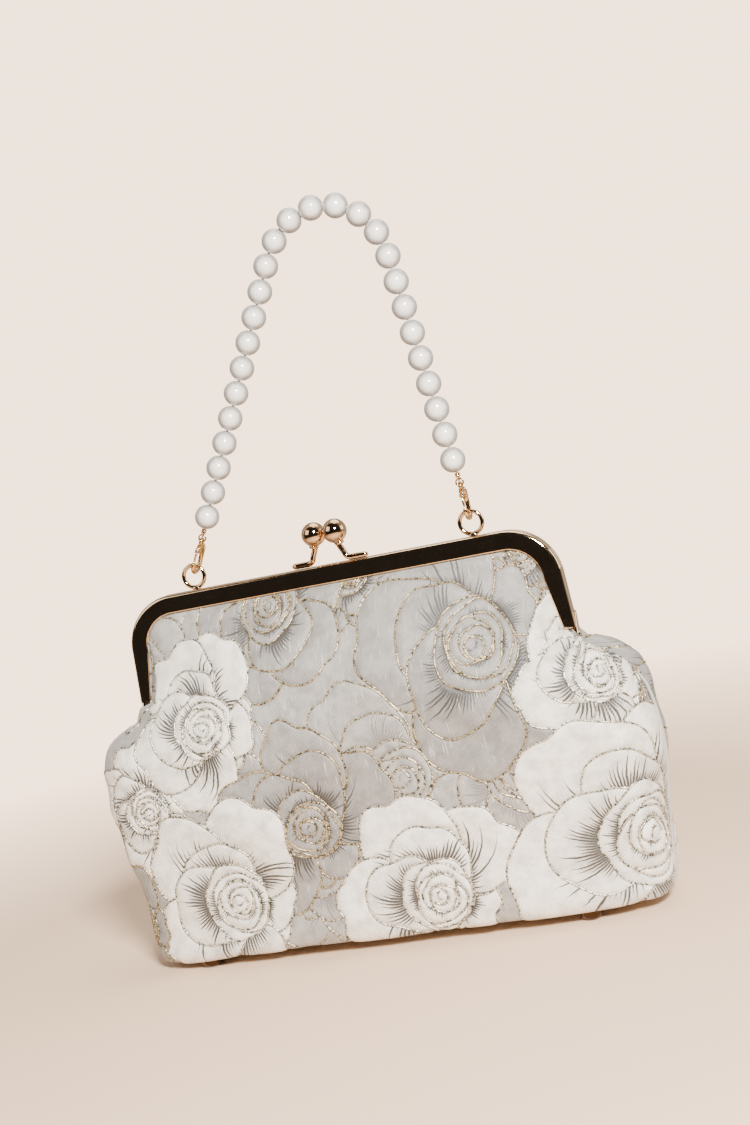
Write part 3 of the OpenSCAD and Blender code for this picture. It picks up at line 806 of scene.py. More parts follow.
def gate(name, side, body, cad):
    """The sprung lever between the hook's tip and its pivot, with a thumb lug."""
    place = clasp_place(side)
    build = Build()
    lever = np.array([
        (0, -HOOK_MID, HOOK_C + 1.5), (0, -HOOK_MID, HOOK_C + 2.6), (0, -HOOK_MID + 0.05, GATE_Z - 2.2),
        (0, -HOOK_MID + 0.25, GATE_Z - 1.2), (0, GATE_Y, GATE_Z),
    ])
    clasp_tube(build, place, lever, [0.62, 0.72, 0.74, 0.72, 0.66], sides=14, flat=0.75)
    lug = np.array([
        (0, GATE_Y + 0.6, GATE_Z - 0.2), (0, -HOOK_MID - 0.5, GATE_Z + 0.3),
        (0, -HOOK_MID - 1.6, GATE_Z + 0.45), (0, -HOOK_MID - 2.3, GATE_Z + 0.2),
    ])
    clasp_tube(build, place, lug, [0.6, 0.62, 0.6, 0.45], sides=14, flat=0.8)
    return finish_piece(build.obj(name), CLASP_GOLD, body, cad, slot="gold")


def small_fittings(name):
    """The jump links at both ends of the strand."""
    build = Build()
    turn = full_turn(40)
    for side in (-1, 1):
        place = clasp_place(side)
        link = np.stack([LINK_R * np.cos(turn), 0 * turn, LINK_Z + LINK_R * np.sin(turn)], -1)
        build.grid(place(tube_points(link, LINK_WIRE_R, 12, True)), close_rows=True, close_columns=True)
    return finish_piece(build.obj(name), CLASP_GOLD, "handle", "jump_links", slot="gold")


def crimps(name):
    build = Build()
    turn = full_turn(36)
    for side in (-1, 1):
        place = clasp_place(side)
        z0, z1, r = CRIMP_Z0, CRIMP_Z1, CRIMP_R
        mid = (z0 + z1) / 2
        build.turned([
            (0.05, z0), (r * 0.7, z0), (r * 0.95, z0 + 0.2), (r, z0 + 0.45),
            (r * 0.86, mid - 0.2), (r * 0.86, mid + 0.2),
            (r, z1 - 0.45), (r * 0.95, z1 - 0.2), (r * 0.75, z1), (0.6, z1),
        ], place, sides=32)
        loop = np.stack([0 * turn, 0.95 * np.cos(turn), z0 - 0.6 + 0.95 * np.sin(turn)], -1)
        build.grid(place(tube_points(loop, 0.3, 10, True, up=(1, 0, 0))), close_rows=True, close_columns=True)
    return finish_piece(build.obj(name), CLASP_GOLD, "handle", "end_crimps", slot="gold")


claw("claw_left", -1, "left_claw")
claw("claw_right", 1, "right_claw")
gate("gate_lever_left", -1, "left_gate", "left_gate")
gate("gate_lever_right", 1, "right_gate", "right_gate")
small_fittings("strand_links")
crimp_piece = crimps("strand_crimps")
finish_cad_nodes(CLASP_GOLD, "gate_pins")
finish_cad_nodes(STEEL, "gate_springs")

# ---------- pearl strand ----------


def strand_end(side):
    return clasp_place(side)(np.array([0, 0, STRAND_START]))[[0, 2]]


class Route:
    """The strand in the XZ plane: a straight run, a bend round HANG, and a straight run."""

    def __init__(self):
        self.ends = {side: strand_end(side) for side in (-1, 1)}
        self.run = {}
        self.angle = {}
        for side, end in self.ends.items():
            away = np.linalg.norm(HANG - end)
            self.run[side] = math.sqrt(away ** 2 - HANG_R ** 2)
            straight = math.atan2(HANG[1] - end[1], HANG[0] - end[0])
            self.angle[side] = straight - side * math.asin(HANG_R / away)
        self.bend = math.pi - self.angle[1] + self.angle[-1]
        self.length = self.run[-1] + HANG_R * self.bend + self.run[1]

    def at(self, s):
        if s < self.run[-1]:
            a = self.angle[-1]
            return self.ends[-1] + s * np.array([math.cos(a), math.sin(a)])
        if s < self.run[-1] + HANG_R * self.bend:
            a = self.angle[-1] + math.pi / 2 - (s - self.run[-1]) / HANG_R
            return HANG + HANG_R * np.array([math.cos(a), math.sin(a)])
        a = self.angle[1]
        return self.ends[1] + (self.length - s) * np.array([math.cos(a), math.sin(a)])


route = Route()
PEARLS = int(route.length // (PEARL_D * (1 + (PEARL_D / HANG_R) ** 2 / 6) + 0.05))
joints = [route.at(route.length * i / PEARLS) for i in range(PEARLS + 1)]


def pearl_strand():
    """Every pearl with its drilled hole, each a shade of its own."""
    chance = np.random.default_rng(4)
    build = Build()
    tints = []
    bore = CABLE_D / 2 + 0.2
    r = PEARL_D / 2
    rim = math.asin(bore / r)
    for a, b in zip(joints, joints[1:]):
        middle = (a + b) / 2
        axis = unit(b - a)
        turned = chance.uniform(0, 2 * math.pi)
        lumps = chance.uniform(-0.012, 0.012, 3)
        profile = [(bore * 1.0, -r * 0.9)] + [
            (r * math.sin(t), -r * math.cos(t)) for t in np.linspace(rim, math.pi - rim, 36)
        ] + [(bore * 1.0, r * 0.9)]

        def place(p, axis=axis, middle=middle, turned=turned, lumps=lumps):
            spin = np.stack([
                p[..., 0] * math.cos(turned) - p[..., 1] * math.sin(turned),
                p[..., 0] * math.sin(turned) + p[..., 1] * math.cos(turned), p[..., 2],
            ], -1) * (1 + lumps[0] * p[..., :1] / r)
            x = spin[..., 0] * axis[1] + spin[..., 2] * axis[0]
            z = -spin[..., 0] * axis[0] + spin[..., 2] * axis[1]
            return np.stack([x + middle[0], spin[..., 1] + HALF_Y, z + middle[1]], -1)

        build.turned(profile, place, sides=48)
        shade = chance.uniform(0.95, 1.0) * np.array([
            1, chance.uniform(0.985, 1), chance.uniform(0.96, 0.995),
        ])
        tints.append(np.tile(np.append(shade, 1), (len(profile) * 48, 1)))
    obj = build.obj("pearl_strand")
    add_colour(obj, "pearl_tint", np.concatenate(tints))
    return finish_piece(obj, NACRE, "handle", "pearls", slot="pearl")


def add_colour(obj, name, values):
    layer = obj.data.color_attributes.new(name, "FLOAT_COLOR", "POINT")
    layer.data.foreach_set("color", np.asarray(values, np.float32).ravel())


def add_vector(obj, name, values):
    layer = obj.data.attributes.new(name, "FLOAT_VECTOR", "POINT")
    layer.data.foreach_set("vector", np.asarray(values, np.float32).ravel())


def add_cloth_uv(obj, places):
    """The place on the cloth, in millimetres, of each vertex."""
    uv = obj.data.uv_layers.new(name="cloth")
    loops = np.zeros(len(obj.data.loops), int)
    obj.data.loops.foreach_get("vertex_index", loops)
    uv.data.foreach_set("uv", places[loops].astype(np.float32).ravel())


def strand_cord():
    """The cord inside the pearls, from crimp to crimp."""
    ends = [clasp_place(side)(np.array([0, 0, CRIMP_Z1 - 0.4])) for side in (-1, 1)]
    path = np.array([ends[0]] + [(x, HALF_Y, z) for x, z in joints] + [ends[1]])
    obj = Build().tube(path, CABLE_D / 2, sides=12).obj("strand_cord")
    finish_piece(obj, CABLE, "handle", "stringing_cord", slot="cable")
    return obj


pearls = pearl_strand()
strand_cord()

# ---------- shape of the fabric body ----------

TUCK = 1.5
# The slack cloth stands out beside the leg ends: by how much, and how far below the top.
BULGE = 8
BULGE_AT = 58


def inside_frame(d, tuck):
    """Half width within the frame's corners and legs, tuck millimetres under its lip."""
    inset = BAND_TOP + 0.6 - tuck
    corner = FRAME_W / 2 - CORNER_R + np.sqrt(np.maximum((CORNER_R - inset) ** 2 - (CORNER_R - d) ** 2, 0))
    legs = FRAME_W / 2 - inset + (d - CORNER_R) * math.tan(SPLAY)
    legs = legs + (BAND_TOP - BAND_END) * smooth((d - CORNER_R) / (FRAME_DROP - CORNER_R))
    return np.where(d < CORNER_R, corner, legs)


def taken_in(d):
    into = np.clip((d - (BODY_H - BOTTOM_R)) / BOTTOM_R, 0, 1)
    return BOTTOM_R * 0.6 * (1 - np.sqrt(1 - into ** 2))


def half_width(d, tuck=0.0):
    tuck = tuck * (1 - smooth((d - FRAME_DROP + 8) / 8))
    top = inside_frame(np.minimum(d, FRAME_DROP), tuck)
    neck = float(inside_frame(np.array(float(FRAME_DROP)), 0.0))
    opened = np.sin(np.pi / 2 * np.clip((d - FRAME_DROP - 4) / (WIDEST - FRAME_DROP - 4), 0, 1)) ** FLARE
    flare = neck + (BODY_W / 2 - neck) * opened
    low = BODY_W / 2 - (BODY_W - BASE_W) / 2 * smooth((d - WIDEST) / (BODY_H - WIDEST)) - taken_in(d)
    return np.where(d < FRAME_DROP + 4, top, np.where(d < WIDEST, flare, low))


def edge_y(d):
    seam_top = FRAME_DROP + EAR_R + 2
    return HALF_Y + (HALF_GAP / 2 - HALF_Y) * smooth((d - FRAME_DROP + 6) / (seam_top - FRAME_DROP + 4))


def half_deep(d):
    rise = np.sin(np.pi / 2 * np.clip((d - PANEL_TOP + 1.5) / (WIDEST - PANEL_TOP), 0, 1))
    return edge_y(d) + (BODY_D / 2 - edge_y(d)) * rise - taken_in(d)


def power(d):
    return 2.2 + 2.4 * smooth((d - 15) / (WIDEST - 15))


def settled(points):
    """The slack body: leaning a little to the right, sagging at its front left corner."""
    x, y, z = np.moveaxis(points, -1, 0)
    d = TOP - z
    sag = 2.2 * smooth((-x - 70) / 50) * smooth((d - 130) / 38) * smooth((-y - 8) / 10)
    lean = 2.5 * smooth((d - 60) / 30) + 4 * smooth((x - 50) / 70) * smooth((d - 72) / 40)
    return np.stack([x + lean, y, z - sag], -1)


class Wall:
    """The front (side -1) or back (1) of the body as a grid: even steps of length across, and of
    depth down. u is the length along the cloth from the middle, d the depth below the top."""

    def __init__(self, side, columns, depths, inward=0.0, tuck=0.0):
        self.side = side
        self.d = depths
        turn = np.radians(np.linspace(-90, 90, 721))[None]
        d = depths[:, None]
        p = power(d)
        wide = half_width(d, tuck) - inward
        deep = half_deep(d) - edge_y(d) - inward
        x = wide * np.sign(np.sin(turn)) * np.abs(np.sin(turn)) ** (2 / p)
        y = edge_y(d) + deep * np.cos(turn).clip(0) ** (2 / p)
        lip = self.under_lip(wide - np.abs(x), d, tuck)
        y = np.minimum(y, lip)
        bulge = np.sign(x) * BULGE * np.exp(-((d - BULGE_AT) / 12) ** 2)
        x = x + bulge * smooth((y - 4) / 5) * np.abs(x / wide) ** 4
        step = np.hypot(np.diff(x, axis=1), np.diff(y, axis=1))
        length = np.concatenate([np.zeros((len(depths), 1)), np.cumsum(step, 1)], 1)
        share = np.linspace(0, 1, columns)
        rows = []
        for k in range(len(depths)):
            at = share * length[k, -1]
            rows.append(np.stack([
                np.interp(at, length[k], x[k]), side * np.interp(at, length[k], y[k]),
                np.full(columns, TOP - depths[k]),
            ], -1))
        self.points = settled(np.array(rows))
        self.half = length[:, -1] / 2
        self.u = (share[None] * 2 - 1) * self.half[:, None]
        self.v = np.broadcast_to(d, self.u.shape)

    @staticmethod
    def under_lip(inside, d, tuck):
        """The most that the cloth stands out while it is under the frame's lip."""
        slope = HALF_Y + 0.75 + np.maximum(inside - tuck, 0) * 1.5
        return np.where(d < FRAME_DROP - 4, slope, slope + (d - FRAME_DROP + 4) * 4)

    def normals(self):
        """Outward unit normals."""
        down, across = np.gradient(self.points, axis=0), np.gradient(self.points, axis=1)
        return unit(np.cross(across, down)) * self.side

    def at(self, u, d, grid):
        """Values of grid at cloth places (u, d), by its two nearest rows and columns."""
        row = np.interp(d, self.d, np.arange(len(self.d)))
        half = np.interp(d, self.d, self.half)
        column = (u / half + 1) / 2 * (grid.shape[1] - 1)
        j = np.clip(row.astype(int), 0, grid.shape[0] - 2)
        i = np.clip(column.astype(int), 0, grid.shape[1] - 2)
        b = (row - j)[:, None]
        a = (column - i)[:, None]
        return (grid[j, i] * (1 - a) * (1 - b) + grid[j, i + 1] * a * (1 - b)
                + grid[j + 1, i] * (1 - a) * b + grid[j + 1, i + 1] * a * b)

    def holds(self, u, d, margin=1.0):
        half = np.interp(d, self.d, self.half)
        return (np.abs(u) < half - margin) & (d > self.d[0] + margin) & (d < self.d[-1] - margin)

    def obj(self, name, points):
        rows, columns = points.shape[:2]
        faces = grid_faces(rows, columns)
        if self.side < 0:
            faces = faces[:, ::-1]
        obj = to_scene(name, points, faces)
        add_cloth_uv(obj, np.stack([self.u.ravel(), self.v.ravel()], -1))
        return obj


# ---------- roses ----------

GROUND = np.array([0.365, 0.355, 0.345])
CREAM = {"petal": (0.95, 0.92, 0.86), "shade": (0.19, 0.183, 0.172), "ink": (0.05, 0.046, 0.04),
         "puff": 0.6, "thread": (0.78, 0.72, 0.60)}
GREY = {"petal": (0.30, 0.29, 0.283), "shade": (0.08, 0.076, 0.072), "ink": (0.045, 0.042, 0.038),
        "puff": 0.4, "thread": (0.60, 0.48, 0.29)}
PLAIN = {"petal": (0.40, 0.39, 0.38), "shade": (0.24, 0.235, 0.23), "ink": (0.20, 0.19, 0.18), "puff": 0.3,
         "thread": (0.70, 0.60, 0.44)}
STROKE_GAP = 1.15
NO_STROKE = 1000.0


class Petal:
    """A blob with a wavy edge round its own centre; root is where its strokes start."""

    def __init__(self, centre, radius, root, root_r, longest, colours, chance, facing, notch=None, tall=1.0):
        self.centre = np.array(centre)
        self.radius = radius
        self.root = np.array(root)
        self.root_r = root_r
        self.longest = longest
        self.colours = colours
        self.waves = [(k, chance.uniform(0.3, 1) * a, chance.uniform(0, 2 * math.pi))
                      for k, a in ((2, 0.07), (3, 0.07), (5, 0.04), (8, 0.018))]
        self.bend = chance.uniform(-0.5, 0.5)
        self.facing = facing
        self.notch = notch
        self.tall = tall
        self.seed = chance.integers(1, 999) * 10
        self.lift = chance.uniform(0.93, 1.05)

    def reach(self, angle):
        r = 1 + sum(a * np.cos(k * angle + b) for k, a, b in self.waves)
        if self.notch is not None:
            turn = (angle - self.notch + math.pi) % (2 * math.pi) - math.pi
            r = r - 0.09 * np.exp(-(turn / 0.25) ** 2) + 0.05 * np.exp(-((np.abs(turn) - 0.5) / 0.3) ** 2)
        return self.radius * r

    def polar(self, u, v):
        du, dv = u - self.centre[0], (v - self.centre[1]) / self.tall
        return np.hypot(du, dv), np.arctan2(dv, du)

    def inside(self, u, v):
        r, angle = self.polar(u, v)
        return r < self.reach(angle)

    def outline(self, step=0.4):
        count = int(2 * math.pi * self.radius * 1.05 * self.tall / step)
        angle = np.linspace(0, 2 * math.pi, count)
        r = self.reach(angle)
        return self.centre[0] + r * np.cos(angle), self.centre[1] + r * np.sin(angle) * self.tall


def rose(centre, size, colours, chance, facing=0.0, tall=1.0):
    """Petals of one rose, the lowest first. Its cupped heart sits away from the side it faces, the
    large petals fan out on that side and small ones show behind the heart."""
    centre = np.array(centre, float)
    ahead = np.array([math.cos(facing), math.sin(facing)])
    heart = centre - ahead * size * 0.28
    petals = []

    def petal(turn, away, radius, longest, notched=True):
        angle = facing + turn
        out = np.array([math.cos(angle), math.sin(angle) * tall])
        petals.append(Petal(heart + size * away * out, size * radius * chance.uniform(0.94, 1.08),
                            heart + size * 0.16 * out, size * 0.25, size * longest, colours, chance, angle,
                            notch=angle if notched else None, tall=tall))

    for turn in (2.4, -2.4, math.pi):
        petal(turn + chance.uniform(-0.15, 0.15), 0.36, 0.36, 0.16)
    for turn in (1.7, -1.7, 0.75, -0.75):
        petal(turn + chance.uniform(-0.15, 0.15), 0.64, 0.54, 0.62)
    for turn in (0.9, -0.35):
        petal(turn + chance.uniform(-0.15, 0.15), 0.34, 0.44, 0.42, False)
    folds = (0.40, 0.33, 0.27, 0.205, 0.15, 0.095)
    lean = facing + math.pi + chance.uniform(-0.5, 0.5)
    middle = heart
    for radius, inner in zip(folds, folds[1:] + (0.05,)):
        inward = middle + size * (radius - inner) * 0.95 * np.array([math.cos(lean), math.sin(lean)])
        petals.append(Petal(middle, size * radius, inward, size * inner, size * radius * 0.33, colours,
                            chance, lean + math.pi, tall=1.06))
        middle = inward
        lean += 2.3 + chance.uniform(-0.6, 0.6)
    return petals


def bed_of(roses, seed):
    chance = np.random.default_rng(seed)
    return [petal for centre, size, colours, facing, tall in roses
            for petal in rose(centre, size, colours, chance, math.radians(facing), tall)]


# Each rose: place on the cloth (along, down), size, colours, the way it faces in degrees (0 right,
# 90 down), and how tall it is for its width.
FRONT_ROSES = (
    ((8, 92), 40, PLAIN, 200, 1.0), ((66, 112), 36, PLAIN, 120, 1.0), ((-28, 140), 34, PLAIN, 90, 1.0),
    ((-104, 30), 30, PLAIN, 60, 1.0), ((-58, 88), 30, PLAIN, 10, 1.0),
    ((8, 12), 24, GREY, 90, 1.0), ((92, 16), 25, GREY, 60, 1.0), ((-30, 24), 33, GREY, 80, 1.05),
    ((-112, 98), 27, CREAM, 160, 1.05), ((139, 82), 34, GREY, 20, 1.1), ((53, 52), 46, GREY, 150, 1.1),
    ((-76, 57), 34, CREAM, 200, 1.0), ((-34, 104), 36, GREY, 230, 1.15), ((106, 62), 31, CREAM, 200, 1.0),
    ((-81, 140), 40, CREAM, 190, 1.0), ((16, 144), 40, CREAM, 215, 1.0), ((104, 134), 52, CREAM, 200, 1.0),
    ((-136, 150), 26, GREY, 180, 1.0),
)
BACK_ROSES = (
    ((24, 108), 40, PLAIN, 200, 1.0), ((-104, 40), 34, PLAIN, 60, 1.0), ((100, 48), 34, PLAIN, 10, 1.0),
    ((-36, 60), 34, PLAIN, 120, 1.0),
    ((-60, 18), 28, GREY, 90, 1.0), ((88, 20), 26, CREAM, 60, 1.0), ((20, 26), 32, CREAM, 120, 1.0),
    ((-128, 96), 32, CREAM, 200, 1.1), ((134, 90), 32, GREY, 20, 1.1), ((-84, 62), 38, GREY, 150, 1.0),
    ((76, 76), 44, GREY, 30, 1.1), ((-14, 84), 44, CREAM, 210, 1.0), ((-66, 130), 42, GREY, 220, 1.0),
    ((116, 142), 40, CREAM, 330, 1.0), ((34, 142), 44, GREY, 210, 1.0), ((-118, 150), 32, CREAM, 190, 1.0),
)


def paint(wall, petals):
    """Tint, stroke and ink at each grid point, and the distance to the nearest petal edge."""
    u, v = wall.u, wall.v
    tint = np.broadcast_to(GROUND, u.shape + (3,)).copy()
    ink = np.broadcast_to(GROUND * 0.5, u.shape + (3,)).copy()
    stroke = np.broadcast_to((0.0, NO_STROKE, 0.0), u.shape + (3,)).copy()
    edge = np.full(u.shape, 9.0)
    puff = np.zeros(u.shape)
    for petal in petals:
        r, angle = petal.polar(u, v)
        near = r < petal.radius * 1.5 + 8
        reach = petal.reach(angle)
        inside = (r < reach) & near
        gap = np.abs(r - reach)
        edge = np.where(inside, gap, np.where(near, np.minimum(edge, gap), edge))
        du, dv = (u - petal.root[0])[inside], (v - petal.root[1])[inside]
        away = np.hypot(du, dv)
        turn = (np.arctan2(dv, du) - petal.facing + math.pi) % (2 * math.pi)
        out = np.where(away < 0.85 * petal.root_r, NO_STROKE, np.maximum(away - petal.root_r, 0))
        fan = smooth((1.75 - np.abs(turn - math.pi)) / 0.9) * (0.78 + 0.3 * np.sin(3.3 * turn + petal.seed))
        longest = petal.longest * fan
        turn = turn + petal.bend * (np.minimum(out / petal.radius, 2)) ** 1.3
        share = (np.exp(-(out / (petal.longest * 0.40)) ** 1.5) * fan)[:, None] * 0.85
        colour = np.array(petal.colours["petal"]) * petal.lift
        tint[inside] = colour * (1 - share) + np.array(petal.colours["shade"]) * share
        ink[inside] = petal.colours["ink"]
        stroke[inside] = np.stack([
            turn * max(petal.root_r * 1.2, 2) / STROKE_GAP + petal.seed, out, longest,
        ], -1)
        puff[inside] = petal.colours["puff"]
    return tint, ink, stroke, edge, puff


def visible_runs(wall, petals):
    """The parts of the petals' outlines that no later petal covers, as lists of (u, d)."""
    runs = []
    for k, petal in enumerate(petals):
        u, v = petal.outline()
        seen = wall.holds(u, v)
        for later in petals[k + 1:]:
            if np.hypot(*(later.centre - petal.centre)) < (later.radius + petal.radius) * 1.7:
                seen &= ~later.inside(u, v)
        edges = np.flatnonzero(np.diff(np.concatenate([[0], seen.astype(int), [0]])))
        for start, end in zip(edges[::2], edges[1::2]):
            if end - start > 8:
                runs.append((u[start:end], v[start:end], petal))
    return runs


THREAD_R = 0.62


def threads(name, wall, points, normals, petals):
    """Twisted metallic cord laid along every visible petal edge."""
    build = Build()
    tints = []
    sides = 6
    ring = np.arange(sides) * 2 * math.pi / sides
    for u, v, petal in visible_runs(wall, petals):
        path = wall.at(u, v, points)
        out = unit(wall.at(u, v, normals))
        path = path + out * THREAD_R * 0.35
        tangent = unit(np.gradient(path, axis=0))
        side = np.cross(tangent, out)
        length = np.concatenate([[0], np.cumsum(np.linalg.norm(np.diff(path, axis=0), axis=1))])
        twist = length * 2 * math.pi / 2.6
        lobes = 0.78 + 0.26 * np.cos(2 * (ring[None] - twist[:, None]))
        ends = np.minimum(1, np.minimum(length, length[-1] - length) / 0.8 + 0.35)
        size = THREAD_R * lobes * ends[:, None]
        around = np.cos(ring)[None, :, None] * side[:, None] + np.sin(ring)[None, :, None] * out[:, None]
        build.grid(path[:, None] + size[..., None] * around, close_columns=True, caps=True)
        tints.append(np.tile(petal.colours["thread"] + (1,), (len(path) * sides, 1)))
    obj = build.obj(name)
    add_colour(obj, "tint", np.concatenate(tints))
    return obj


DIP_LIMIT = 0.8
# Upright soft folds: place along the cloth, half width, top and end below the frame's top, height.
FOLDS = {
    -1: ((113, 7, 42, 172, 2.6), (128, 8, 50, 150, -1.8), (-112, 9, 48, 150, 1.4), (97, 6, 60, 140, -1.2)),
    1: ((-108, 8, 44, 165, 2.0), (-124, 8, 50, 150, -1.4), (110, 9, 46, 150, 1.5), (0, 20, 60, 160, -1.0)),
}


def relief(wall):
    """Slack of the body's cloth: broad soft lumps, and small folds below the ends of the legs."""
    u, d = wall.u, wall.v
    rng = np.random.default_rng(7 if wall.side < 0 else 8)
    height = np.zeros(u.shape)
    for wave, size in ((95, 1.1), (60, 0.85), (38, 0.5), (24, 0.25), (15, 0.12)):
        for _ in range(4):
            a = rng.uniform(0, math.pi)
            along = 2 * math.pi * (u * math.cos(a) + d * math.sin(a)) / wave
            height += size * 0.5 * np.sin(along + rng.uniform(0, 6.28))
    for place, wide, top, end, size in FOLDS[wall.side]:
        height += size * np.exp(-((u - place) / wide) ** 2) * smooth((d - top) / 18) * smooth((end - d) / 50)
    height = np.where(height < 0, DIP_LIMIT * np.tanh(height / DIP_LIMIT), height)
    at_sides = smooth((wall.half[:, None] - np.abs(u)) / 14)
    hold = smooth((d - 14) / 30) * at_sides * smooth((BODY_H + 2 - d) / 16)
    return height * hold


def body_cloth(side, spacing, petals):
    rows = int(161 / spacing)
    depths = PANEL_TOP - TUCK + (BODY_H - PANEL_TOP + TUCK) * np.linspace(0, 1, rows) ** 0.97
    wall = Wall(side, int(316 / spacing), depths, tuck=TUCK)
    tint, ink, stroke, edge, puff = paint(wall, petals)
    normals = wall.normals()
    wall.points = wall.points + normals * relief(wall)[..., None]
    normals = wall.normals()
    quilt = 1.3 * puff * (1 - np.exp(-edge / 2.2)) - 0.3 * np.exp(-(edge / 0.9) ** 2)
    calm = smooth((wall.half[:, None] - np.abs(wall.u)) / 3) * smooth((wall.v - PANEL_TOP) / 3)
    points = wall.points + normals * (quilt * calm)[..., None]
    label = "front" if side < 0 else "back"
    cloth = wall.obj(f"{label}_cloth", points)
    flat = np.ones(tint.shape[:2] + (1,))
    add_colour(cloth, "tint", np.concatenate([tint, flat], -1))
    add_colour(cloth, "ink", np.concatenate([ink, flat], -1))
    add_vector(cloth, "stroke", stroke)
    cord = threads(f"{label}_threads", wall, points, normals, petals)
    return wall, cloth, cord


front_wall, front_cloth, front_threads = body_cloth(-1, 0.55, bed_of(FRONT_ROSES, 11))
back_wall, back_cloth, back_threads = body_cloth(1, 0.62, bed_of(BACK_ROSES, 23))
for piece, finish in ((front_cloth, BROCADE), (front_threads, THREAD)):
    piece.data.materials.append(finish)
    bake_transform(piece)
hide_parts("front_upper_panel", "front_fold", "front_lower_panel")
finish_piece(back_cloth, BROCADE, "bag", "back_panel", slot="brocade")
finish_piece(back_threads, THREAD, "bag", slot="brocade")

# ---------- lining, pocket, base and piping ----------


def lining_wall(name, side, low=BODY_H - 6.0):
    depths = np.linspace(PANEL_TOP + 0.2, low, 110)
    wall = Wall(side, 200, depths, inward=LINING_IN)
    folds = 0.35 * np.sin(wall.u / 5.5 + 0.8 * np.sin(wall.v / 17)) * smooth((wall.v - 20) / 30)
    fade = smooth((wall.half[:, None] - np.abs(wall.u)) / 10) * smooth((low - wall.v) / 10)
    wall.points = wall.points - wall.normals() * ((folds + 0.35) * fade)[..., None]
    obj = wall.obj(name, wall.points)
    obj.data.materials.append(LINING)
    return wall, obj


front_lining_wall, front_lining = lining_wall("front_lining_satin", -1)
back_lining_wall, back_lining = lining_wall("back_lining_satin", 1)
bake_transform(front_lining)
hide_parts("front_upper_lining", "fold_lining", "front_lower_lining")
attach(back_lining, "bag")
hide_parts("back_lining")


def pocket():
    """A flat pocket with a turned top edge, sewn to the back lining."""
    half, top, low = POCKET
    depths = np.linspace(top, low, 60)
    wall = Wall(1, 220, depths, inward=LINING_IN + 1.35)
    keep = np.abs(wall.u[0]) < half * 1.15
    wall.points = wall.points[:, keep]
    wall.u = wall.u[:, keep]
    wall.v = wall.v[:, keep]
    bulge = 0.5 * np.cos(np.pi / 2 * wall.u / (half * 1.15)) * smooth((low - wall.v) / 25)
    hem = 0.35 * np.exp(-((wall.v - top - 1.2) / 1.0) ** 2)
    wall.points = wall.points - wall.normals() * (bulge + hem)[..., None]
    obj = wall.obj("slip_pocket_satin", wall.points)
    finish_piece(obj, LINING, "bag", "slip_pocket", slot="lining")


pocket()


def base_outline(inset, count=160):
    turn = full_turn(count)
    p = float(power(np.array(float(BODY_H))))
    a = float(half_width(np.array(float(BODY_H)))) - inset
    b = float(half_deep(np.array(float(BODY_H)))) - inset
    x = a * np.sign(np.cos(turn)) * np.abs(np.cos(turn)) ** (2 / p)
    y = b * np.sign(np.sin(turn)) * np.abs(np.sin(turn)) ** (2 / p)
    return x, y


def flat_sheet(name, z, inset, finish, cad, slot, down):
    """A sheet with the base's outline, slightly pillowed between its edge and the board."""
    x, y = base_outline(inset)
    share = np.concatenate([np.linspace(0.01, 0.9, 24), np.linspace(0.92, 1, 6)])[:, None]
    swell = 0.25 * np.sin(np.pi * share ** 3)
    points = settled(np.stack([x * share, y * share, z + swell * (-1 if down else 1) + 0 * x * share], -1))
    faces = grid_faces(*points.shape[:2], close_columns=True)
    if down:
        faces = faces[:, ::-1]
    obj = to_scene(name, points, faces)
    add_cloth_uv(obj, points.reshape(-1, 3)[:, :2])
    finish_piece(obj, finish, "bag", cad, slot=slot)
    return obj


flat_sheet("base_cloth", FOOT_H + 0.3, 0, PIPING, "base_panel", "brocade", True)
flat_sheet("base_lining_satin", FOOT_H + 4.6, 3.6, LINING, "base_lining", "lining", False)


def piping():
    """Covered cord in each side seam."""
    build = Build()
    depths = np.linspace(FRAME_DROP + EAR_R + 5, BODY_H - 1.6, 90)
    for side in (-1, 1):
        path = np.stack([side * (half_width(depths) + 0.45), 0 * depths, TOP - depths], -1)
        path = settled(path)
        radius = PIPING_R * (1 + 0.03 * np.sin(depths * 2.2))
        radius[0] = radius[-1] = PIPING_R * 0.4
        build.tube(path, radius, sides=14)
    return finish_piece(build.obj("side_piping"), PIPING, "bag", "side_seams", slot="piping")


piping()
finish_cad_nodes(BOARD, "base_board", "back_paper_cord", "front_paper_cord")

# ---------- feet ----------


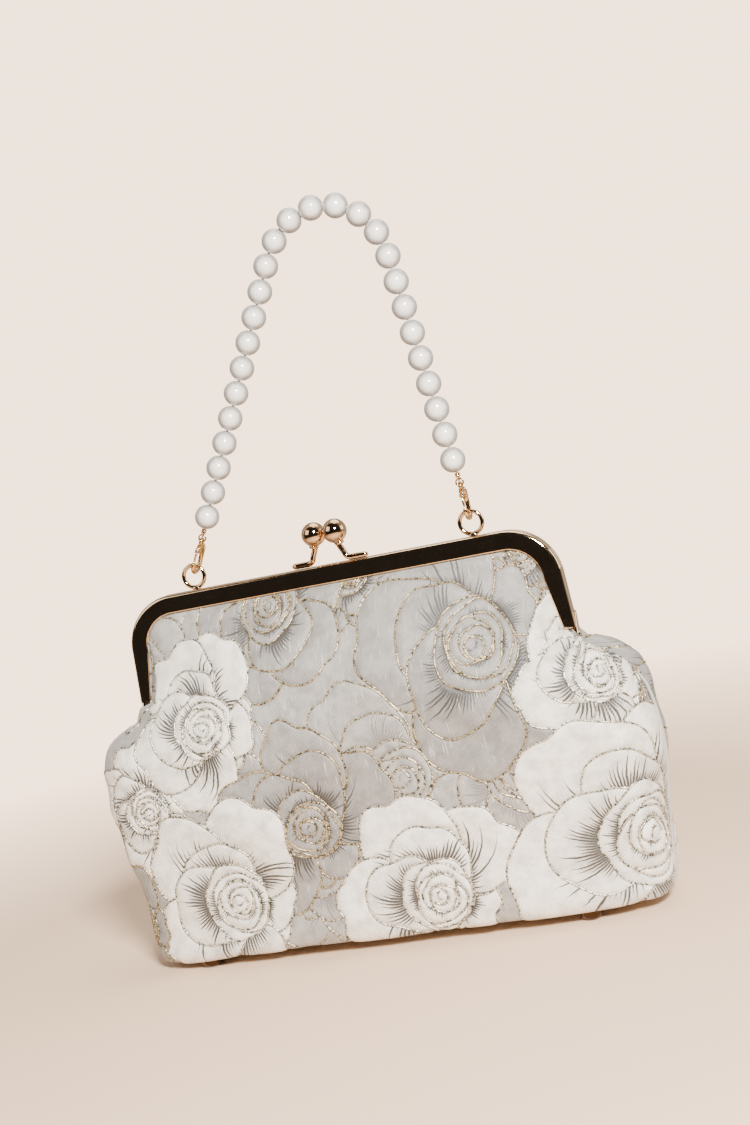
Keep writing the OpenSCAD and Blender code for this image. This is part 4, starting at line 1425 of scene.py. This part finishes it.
def feet():
    """Domed studs, each with its prong through the base."""
    wide = FOOT_D / 2
    dome = [(0.05, 0.0), (FOOT_FLAT_R * 0.6, 0.0)] + [
        (FOOT_FLAT_R + (wide - FOOT_FLAT_R) * math.sin(a), FOOT_H * 0.85 * (1 - math.cos(a)))
        for a in np.radians(np.linspace(0, 90, 16))
    ]
    rim = [(wide, FOOT_H * 0.93), (wide - 0.15, FOOT_H - 0.05), (wide - 0.5, FOOT_H)]
    prong = [(1.0, FOOT_H), (1.0, FOOT_H + 3.6), (0.7, FOOT_H + 3.9), (0.05, FOOT_H + 4.0)]
    build = Build()
    for x in (-FOOT_X, FOOT_X):
        for y in (-FOOT_Y, FOOT_Y):
            build.turned(dome + rim + prong, lambda p, x=x, y=y: p + (x, y, 0), sides=48)
    obj = build.obj("feet_studs", sharp_angle=math.radians(50))
    return finish_piece(obj, FOOT_GOLD_PAINTED_SHADE, "bag", "feet", slot="gold")


feet()

# ---------- floor ----------


def floor():
    """A pale floor that melts into the surroundings."""
    radius = 1400.0
    share = np.linspace(0.001, 1, 20)[:, None]
    turn = full_turn(64)[None]
    points = np.stack([
        radius * share * np.cos(turn), radius * share * np.sin(turn), 0 * share * turn - 0.05,
    ], -1)
    obj = to_scene("floor", points, grid_faces(20, 64, close_columns=True))
    made, tree, shader = material("pale_floor")
    give(shader, Base_Color=WALL_WARM, Roughness=0.8, Specular_IOR_Level=0.2)
    away = node(tree, "ShaderNodeVectorMath", operation="LENGTH")
    tree.links.new(object_place(tree, MM), away.inputs[0])
    fade = ramp(tree, away.outputs["Value"], [(0.25, grey(0)), (0.7, grey(1))])
    clear = node(tree, "ShaderNodeBsdfTransparent")
    mix = node(tree, "ShaderNodeMixShader")
    out = next(n for n in tree.nodes if n.type == "OUTPUT_MATERIAL")
    tree.links.new(fade, mix.inputs["Fac"])
    tree.links.new(shader.outputs[0], mix.inputs[1])
    tree.links.new(clear.outputs[0], mix.inputs[2])
    tree.links.new(mix.outputs[0], out.inputs["Surface"])
    obj.data.materials.append(made)


floor()
